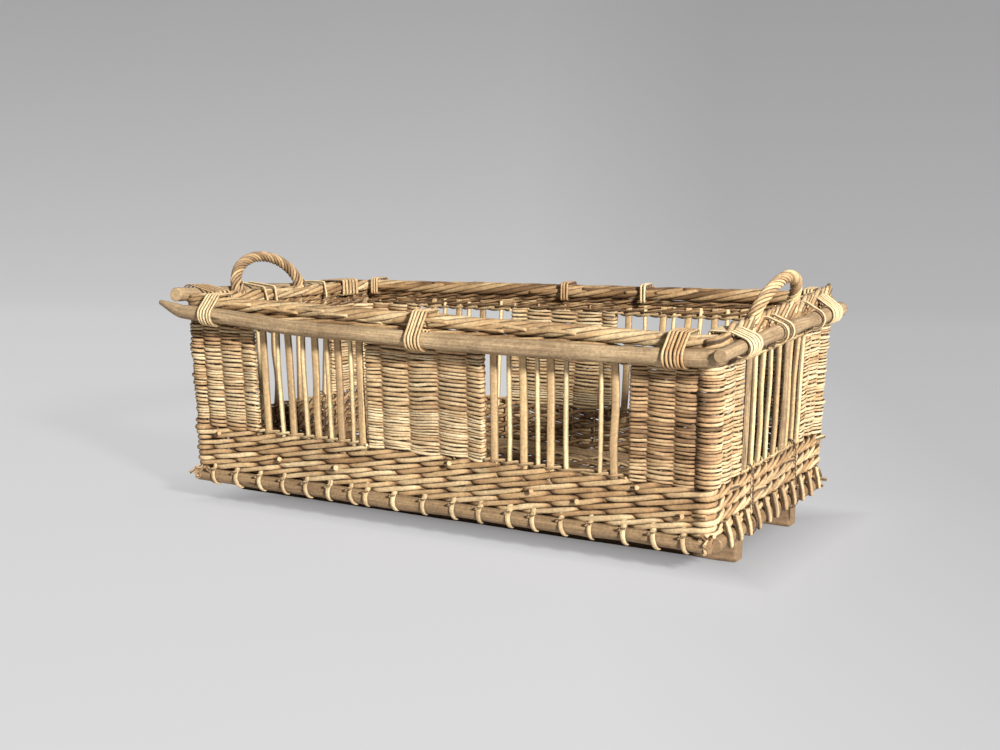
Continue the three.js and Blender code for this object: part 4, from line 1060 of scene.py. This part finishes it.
for wall, shares in end_rod_shares.items():
    bars, rod_at = Bundle(), place_of(wall, np.array(shares) * end_window_half)
    uprights(bars, rod_at, 0.0, bar_foot, bar_head, end_rod_radius * varied(0.85, 1.15, len(shares)),
             chance.permutation(np.linspace(-0.1, 0.6, len(shares)))[:, None], bow=0.0022, steps=24)
    legs_at = place_of(wall, np.array(list(handle_legs.values())))
    finish_window(f"end_{wall}", wall, bars, np.concatenate([rod_at, legs_at]),
                  (-end_window_half, end_window_half))

# %% [markdown]
# Over the windows the rods close up again in the upper band: two rounds of thinner waling on a row of
# pairing that grips the heads of all the bars.

# %% Upper band
upper_waling_level, grip_level, grip_stakes = 0.3223, 0.3112, 76
upper_band = Bundle()
wale(upper_band, upper_waling_level, rounds=2, pitch=0.0098, radius=0.0032, reach=0.0053, climb=0.0031,
     tone_range=(0.1, 0.8))
pairing(upper_band, np.arange(1, grip_stakes) * perimeter / grip_stakes, (0.0, perimeter), grip_level,
        reach=0.0056, radius=0.0028, lift=0.0024)
piece("waled_upper_band", upper_band, border_willow, "willow", "upper_band")

# %% [markdown]
# The border is what becomes of the stakes' tops. They are laid down along the rim in a thick rope with a
# very long lay. A strand's centre turns slowly round the border's middle line: out by a cosine, up by a
# sine. The middle of the rear lies in shade.

# %% Border rope
border = Bundle()
border_level = (border_bottom + border_top) / 2
strands, turns, steps = 6, 12, 460
rope_out, rope_up, strand_radius = 0.0083, 0.0066, 0.0049
place = np.linspace(0, perimeter, steps)
turn = 2 * np.pi * (place / perimeter * turns + np.arange(strands)[:, None] / strands)
swing = wander(strands, steps, 40, 0.07, closed=True)
strand_out, strand_up = rope_out * np.cos(turn) * (1 + swing), rope_up * np.sin(turn) * (1 + swing)
tone, thick = rod_runs(strands, steps, (-0.1, 0.6), pieces=8)
rear_shade = 0.4 * np.exp(-((place - perimeter / 2) / 0.42) ** 6)
tone = tone + wander(strands, steps, 80, 0.12, closed=True) + rear_shade
strand_path = on_wall(place, strand_out, border_level + strand_up)
facing = strand_path - on_wall(place, 0.0, border_level)
rods(border, strand_path, strand_radius * thick, facing, tone, sides=10)
print(strands, "strands of", steps, "rings")

# %% [markdown]
# Single rods leave the rope and end in a cut. On the right end, where many stakes meet, they are cut short
# and lie side by side like fingers, from the top of the border down to the pole.

# %% Border ends
loose, loose_radius = 44, 0.0042
share = np.linspace(0, 1, 14)
loose_start = chance.permutation(np.arange(loose)) * perimeter / loose + chance.uniform(0, 0.03, loose)
loose_place = loose_start[:, None] + varied(0.07, 0.13, loose) * share
around = varied(-0.5, 1.2, loose) + varied(-1.0, 0.4, loose) * share
away = 0.004 + 0.0062 * np.sqrt(share)
loose_side = np.where(np.arange(loose) % 3, 1.0, -1.0)[:, None]
loose_path = on_wall(loose_place, loose_side * away * np.cos(around) * 1.08,
                     border_level + away * np.sin(around) * 0.9)
rods(border, loose_path, loose_radius * np.interp(share, [0, 0.8, 1], [1.0, 0.9, 0.75]),
     loose_path - on_wall(loose_place, 0.0, border_level),
     chance.uniform(-0.1, 0.6, loose) + np.interp(loose_start, place, rear_shade))


def cut_ends(wall, spans, pitch=0.019, radius=0.0048, length=0.046, outside=0.0125, rise=0.0185):
    """Short cut rods along the outside of the rim. Each rises towards the rear from behind the pole, some
    more and some less, and its cut end lies free on top of the border."""
    at = np.concatenate([np.arange(low, high, pitch) for low, high in spans])
    count, share = len(at), np.linspace(0, 1, 6)
    places = place_of(wall, at + chance.uniform(-0.003, 0.003, count))
    slant = length + varied(-0.012, 0.012, count)
    out = outside + varied(-0.0015, 0.0015, count) - 0.007 * share
    level = border_top - 0.012 + varied(-0.001, 0.003, count) + rise * share
    path = on_wall(places[:, None] + wall_sign[wall] * slant * (share - 0.5), out, level)
    # Painted shade: each rod is darker towards its start, behind the pole
    rods(border, path, radius * varied(0.8, 1.1, count), (0.0, 0.0, 1.0),
         varied(-0.25, 0.5, count) + 0.35 * (1 - share) ** 2)


cut_ends("right", [(-0.222, -0.11), (-0.095, 0.04), (0.06, 0.225)])
piece("roped_border", border, border_willow, "willow", "border")

# %% [markdown]
# Four poles lie outside the rim and take the load. All but the rear one run past a corner. The front and
# rear ones sag a little. The left one rests on the front one and bends inwards there. The front one's left
# tip is cut at a long slant and curves up.

# %% Rim poles
rim_radius, rim_offset, side_sag, right_drop = 0.0125, 0.0281, 0.012, 0.008
side_below_top, end_below_top, rest_gap, left_rest, past_corner = 0.027, 0.019, 0.0003, 0.013, 0.04
side_pole_y, end_pole_x = half_width + rim_offset, half_length + rim_offset
left_front, end_reach = -(side_pole_y + left_rest), side_pole_y + past_corner


def side_pole_level(x):
    """The level of the front and rear poles: a parabola that sags in the middle."""
    return border_top - side_below_top - side_sag * (1 - (x / half_length) ** 2)


def end_pole_level(wall, y):
    """The level of an end pole. The right one drops towards its rear end. The left one drops to its rear
    end from where it lies on the front pole."""
    level = border_top - end_below_top
    if wall == "right":
        return level - right_drop * np.clip((y + 0.1) / 0.35, 0, 1)
    top = side_pole_level(end_pole_x) + 2 * rim_radius + rest_gap
    return top + (level - top) * (y - left_front) / (end_reach - left_front)


span = np.linspace(0, 1, 24)
side_stop = end_pole_x - rim_radius - 0.0085
front_start, rear_start, right_start = -(end_pole_x + 0.008), end_pole_x - 0.036, -(end_reach - 0.021)
front_x = front_start + span * (side_stop - front_start)
rear_x = rear_start - span * (rear_start + side_stop)
left_y = end_reach + span * (left_front + 0.018 - end_reach)
right_y = right_start + span * (side_pole_y - rim_radius - 0.0303 - right_start)
tip_rise = 0.011 * np.clip(-(front_x + 0.455) / 0.034, 0, 1) ** 2
front_taper = np.interp(np.linspace(0, 1, 60), [0, 0.035, 0.06, 1], [0.3, 0.8, 0.94, 1.02])
pole_lines = {
    "front": (front_x, -side_pole_y, side_pole_level(front_x) + tip_rise, front_taper),
    "rear": (rear_x, side_pole_y, side_pole_level(rear_x), (1.06, 0.98, 1.0)),
    "left": (0.016 * span ** 5 - end_pole_x, left_y, end_pole_level("left", left_y), (1.0, 0.9)),
    "right": (end_pole_x, right_y, end_pole_level("right", right_y), (0.82, 0.9, 0.95)),
}
for wall, (*line, taper) in pole_lines.items():
    line = settle(np.stack(np.broadcast_arrays(*line), 1))
    branch_piece(f"branch_rim_{wall}", f"rim_pole_{wall}", line, rim_radius, 0.3, bumps=12, crook=0.001,
                 steps=300, sides=24, swell=0.07, taper=taper)

# %% [markdown]
# The poles are bound to the border with split cane. A turn lies taut over the border, round the outside of
# the pole, and back through the weave. The taut path is made of arcs round the border's corners and the
# pole, joined by their common tangents, and the turns step along the wall.

# %% Cane windings
cane_gap = 0.0007


def tangent(first, second):
    """The outward direction of the straight stretch from one circle to the next: square to the line of
    centres, turned by the arc cosine of the difference of the radii over the distance."""
    out, up = second[0] - first[0], second[1] - first[1]
    cosine = (first[2] - second[2]) / math.hypot(out, up)
    return math.atan2(up, out) + math.acos(min(1.0, cosine))


def arc(circle, start, end, steps):
    """Points along a circle's rim from one direction to another."""
    angle = np.linspace(start, end, steps)
    return np.stack([circle[0] + circle[2] * np.cos(angle), circle[1] + circle[2] * np.sin(angle)], 1)


def taut_turn(level, off, half=0.014):
    """One turn round a border of a half width and a pole at a level, in distance out and height. It runs
    off their surfaces by half the cane and a small gap."""
    inside, over = (-half, border_bottom, off), (-half, border_top, off)
    outside, pole = (half, border_top, off), (rim_offset, level, rim_radius + off)
    proud = tangent(outside, pole) < math.pi / 2
    down = tangent(outside if proud else over, pole)
    slot_level = border_bottom - off
    under = pole[1] - pole[2] < slot_level
    mouth = (pole[0] - pole[2] if under else half + off, slot_level, 0.0)
    leave = math.fmod(tangent(pole, mouth) - 2 * math.pi, 2 * math.pi)
    parts = [arc(inside, 1.5 * math.pi, math.pi, 4), arc(over, math.pi, math.pi / 2 if proud else down, 6)]
    if proud:
        parts.append(arc(outside, math.pi / 2, down, 5))
    return np.concatenate([*parts, arc(pole, down, leave, 22), [mouth[:2]]])


def evenly(line, count):
    """The same line with evenly spaced points."""
    return resampled(line, np.linspace(0, metres_along(line)[-1], count))


def winding(name, node, wall, middle, turns, pitch, half_wide, flat, tone, slack=0.0004, per_turn=60):
    """Turns of cane at a place on a wall, as a piece. The pole's level is taken anew for each turn, because
    it sags. The tube is thin along the normal of its path and wide along the wall."""
    section = []
    for turn in range(turns):
        along = middle + wall_sign[wall] * (turn + 0.5 - turns / 2) * pitch
        level = side_pole_level(along) if wall in ("front", "rear") else end_pole_level(wall, along)
        section.append(evenly(taut_turn(level, cane_gap + half_wide * flat), per_turn))
    out, level = np.concatenate(section).T
    step = (np.arange(len(out)) / per_turn - turns / 2) * pitch
    places = place_of(wall, middle) + step + wander(1, len(out), 4 * turns, slack)[0]
    path = on_wall(places, out, level)
    tone = tone + wander(1, len(out), 5 * turns, 0.12)
    along_wall = np.cross((0.0, 0.0, 1.0), outwards(places))
    facing = np.cross(unit(np.gradient(path, axis=0)), along_wall)
    turns_of_cane = Bundle()
    rods(turns_of_cane, path[None], half_wide, facing[None], tone, flat=flat)
    piece(name, turns_of_cane, cane, "cane", node)


side_winding = {"pitch": 0.0057, "half_wide": 0.0024, "flat": 0.85}
for name, wall, share, turns, tone in [
    ("front_left", "front", -0.865, 5, 0.25), ("front_middle", "front", -0.012, 5, 0.42),
    ("front_right", "front", 0.9, 6, 0.62), ("rear_left", "rear", -0.93, 3, 0.5),
    ("rear_middle", "rear", -0.048, 3, 0.75), ("rear_centre_right", "rear", 0.284, 2, 0.1),
    ("rear_right", "rear", 0.93, 3, 0.4),
]:
    winding(f"cane_{name}", f"binding_{name}", wall, share * half_length, turns, tone=tone, **side_winding)

end_turns, end_pitch, end_flatness = 5, 0.0099, 0.4
for name, wall, share, half_wide, tone in [
    ("left_front", "left", -0.78, 0.0028, 0.5), ("left_rear", "left", 0.7, 0.0042, 0.4),
    ("right_front", "right", -0.83, 0.0042, 0.05), ("right_rear", "right", 0.66, 0.0042, 0.15),
]:
    winding(f"cane_{name}", f"binding_{name}", wall, share * half_width, end_turns, end_pitch, half_wide,
            end_flatness, tone)

# %% [markdown]
# Beside each handle's legs, a thin cane makes one or two wide turns that lash the handle's foot, the border
# and the pole together.

# %% Handle lashings
for wall in ("left", "right"):
    for leg, turns in (("front", 2), ("rear", 1)):
        beside = handle_legs[leg] + 0.016 + turns * 0.013
        winding(f"lashing_{wall}_{leg}", f"handle_lashing_{wall}_{leg}", wall, beside, turns, 0.026, 0.0026,
                0.85, chance.uniform(0.05, 0.35), slack=0.001)

# %% [markdown]
# A handle is a stout bow, covered with a rope of willow. Seven thin rods are laid side by side and wound
# round the bow at about 35 degrees. Each strand's centre turns round the arch's line: the distance times
# the cosine of its angle along one side direction, plus the sine along the other. At the feet the strands
# spread and run into the border. The left handle is the darker one.

# %% Handles
handle_half_span, handle_rise, handle_lean, foot_depth = 0.083, 0.0545, 0.02, 0.02
bow_radius, leg_bottom = 0.0048, band_top - 0.024
handle_sides = {"left": (-1, -0.04, 0.3), "right": (1, -0.026, 0.0)}
spread_length, spread_out, spread_along = 0.05, 0.0045, 0.007


def handle_arch(side, middle_y, steps):
    """The arch's middle line: half an ellipse over the border, with short straight feet below it. It leans
    outwards as it rises."""
    angle = np.linspace(0, np.pi, steps)
    foot = np.linspace(foot_depth, 0, 12, endpoint=False)
    ends = np.full(12, handle_half_span)
    y = np.concatenate([-ends, -handle_half_span * np.cos(angle), ends])
    rise = np.concatenate([-foot, handle_rise * np.sin(angle), -foot[::-1]])
    lean = handle_lean * np.clip(rise / handle_rise, 0, 1)
    return np.stack([side * (half_length + lean), middle_y + y, border_top + rise], 1)


def handle_rope(bundle, line, darker, strands=7, radius=0.0026, distance=0.0069, lay=0.06):
    """The strands of a handle's cover. Near the feet, their distance from the bow grows as a square, so
    that they spread, and more of that spread lies along the wall than across it."""
    length = metres_along(line)
    tangents = unit(np.gradient(line, axis=0))
    across = np.broadcast_to((1.0, 0.0, 0.0), line.shape)
    across = unit(across - (across * tangents).sum(1, keepdims=True) * tangents)
    other = np.cross(tangents, across)
    to_end = np.minimum(length, length[-1] - length)
    spreading = np.clip(1 - to_end / spread_length, 0, 1) ** 2
    turn = 2 * np.pi * (length / lay + np.arange(strands)[:, None] / strands)
    far = distance + spread_out * spreading
    facing = np.cos(turn)[..., None] * across + np.sin(turn)[..., None] * other
    path = line + far[:, None] * facing
    path[..., 1] += spreading * chance.normal(0, spread_along, (strands, 1))
    thick = radius * (1 + wander(strands, len(line), 6, 0.05)) * varied(0.9, 1.1, strands)
    rods(bundle, settle(path), thick, settle(path + facing * 0.01) - settle(path),
         darker + chance.permutation(np.linspace(0.1, 0.85, strands)))


for hand, (side, middle_y, darker) in handle_sides.items():
    arch = handle_arch(side, middle_y, 40)
    down = np.linspace(border_top - foot_depth, leg_bottom, 12)[1:]
    legs = [np.stack(np.broadcast_arrays(side * half_length, y, down), 1) for y in (arch[0, 1], arch[-1, 1])]
    line = settle(np.concatenate([legs[0][::-1], arch, legs[1]]))
    branch_piece(f"bow_{hand}", f"handle_bow_{hand}", line, bow_radius, 0.35, bumps=4, crook=0.0004,
                 steps=200, sides=12)
    rope = Bundle()
    handle_rope(rope, handle_arch(side, middle_y, 130), darker)
    piece(f"rope_{hand}", rope, peeled, "peeled_willow", f"handle_rope_{hand}")

# %% [markdown]
# Old wire, two strands twisted together, holds each end wall down to the base at the runners. The ring goes
# over the sill, down the wall and under the base pole, and each strand turns round it.

# %% Wire ties
wire_mm = [(-11, 139), (-5, 144), (4, 144), (10, 138), (12, 125), (12.5, 95), (15, 75), (20.5, 63), (22, 52),
           (19, 41), (10, 35), (-2, 36), (-8, 42), (-10, 55), (-11, 90), (-11.5, 125), (-11, 139)]
tie_y = {"front": -0.098, "rear": 0.098}


def wire_ring(bundle, wall, along, strands=2, radius=0.00075, twist=0.0095, steps=260):
    """Two thin tubes that twist round one closed line: a few points round the wall's section, smoothed by a
    moving average, with a random wave."""
    ring = evenly(np.array(wire_mm) / 1000, steps)[:-1]
    ring = np.stack([np.roll(ring, -shift, axis=0) for shift in range(-6, 7)]).mean(0)
    ring = np.concatenate([ring, ring[:1]]) + wander(2, steps, 14, 0.0004, closed=True).T
    length = np.linspace(0, metres_along(ring)[-1], steps)
    turns = round(length[-1] / twist)
    turn = 2 * np.pi * (length / length[-1] * turns + np.arange(strands)[:, None] / strands)
    normal = unit(np.stack([-np.gradient(ring[:, 1]), np.gradient(ring[:, 0])], 1))
    out, level = ring.T[:, None] + radius * np.cos(turn) * normal.T[:, None]
    places = place_of(wall, along) + wander(1, steps, 8, 0.0012, closed=True) + radius * np.sin(turn)
    facing = np.cross((0.0, 0.0, 1.0), outwards(place_of(wall, along)))
    rods(bundle, on_wall(places, out, level), radius, facing, 0.4, sides=6)


for wall in ("left", "right"):
    for name, along in tie_y.items():
        tie = Bundle()
        wire_ring(tie, wall, along)
        piece(f"wire_{wall}_{name}", tie, wire, "iron_wire", f"wire_tie_{wall}_{name}")
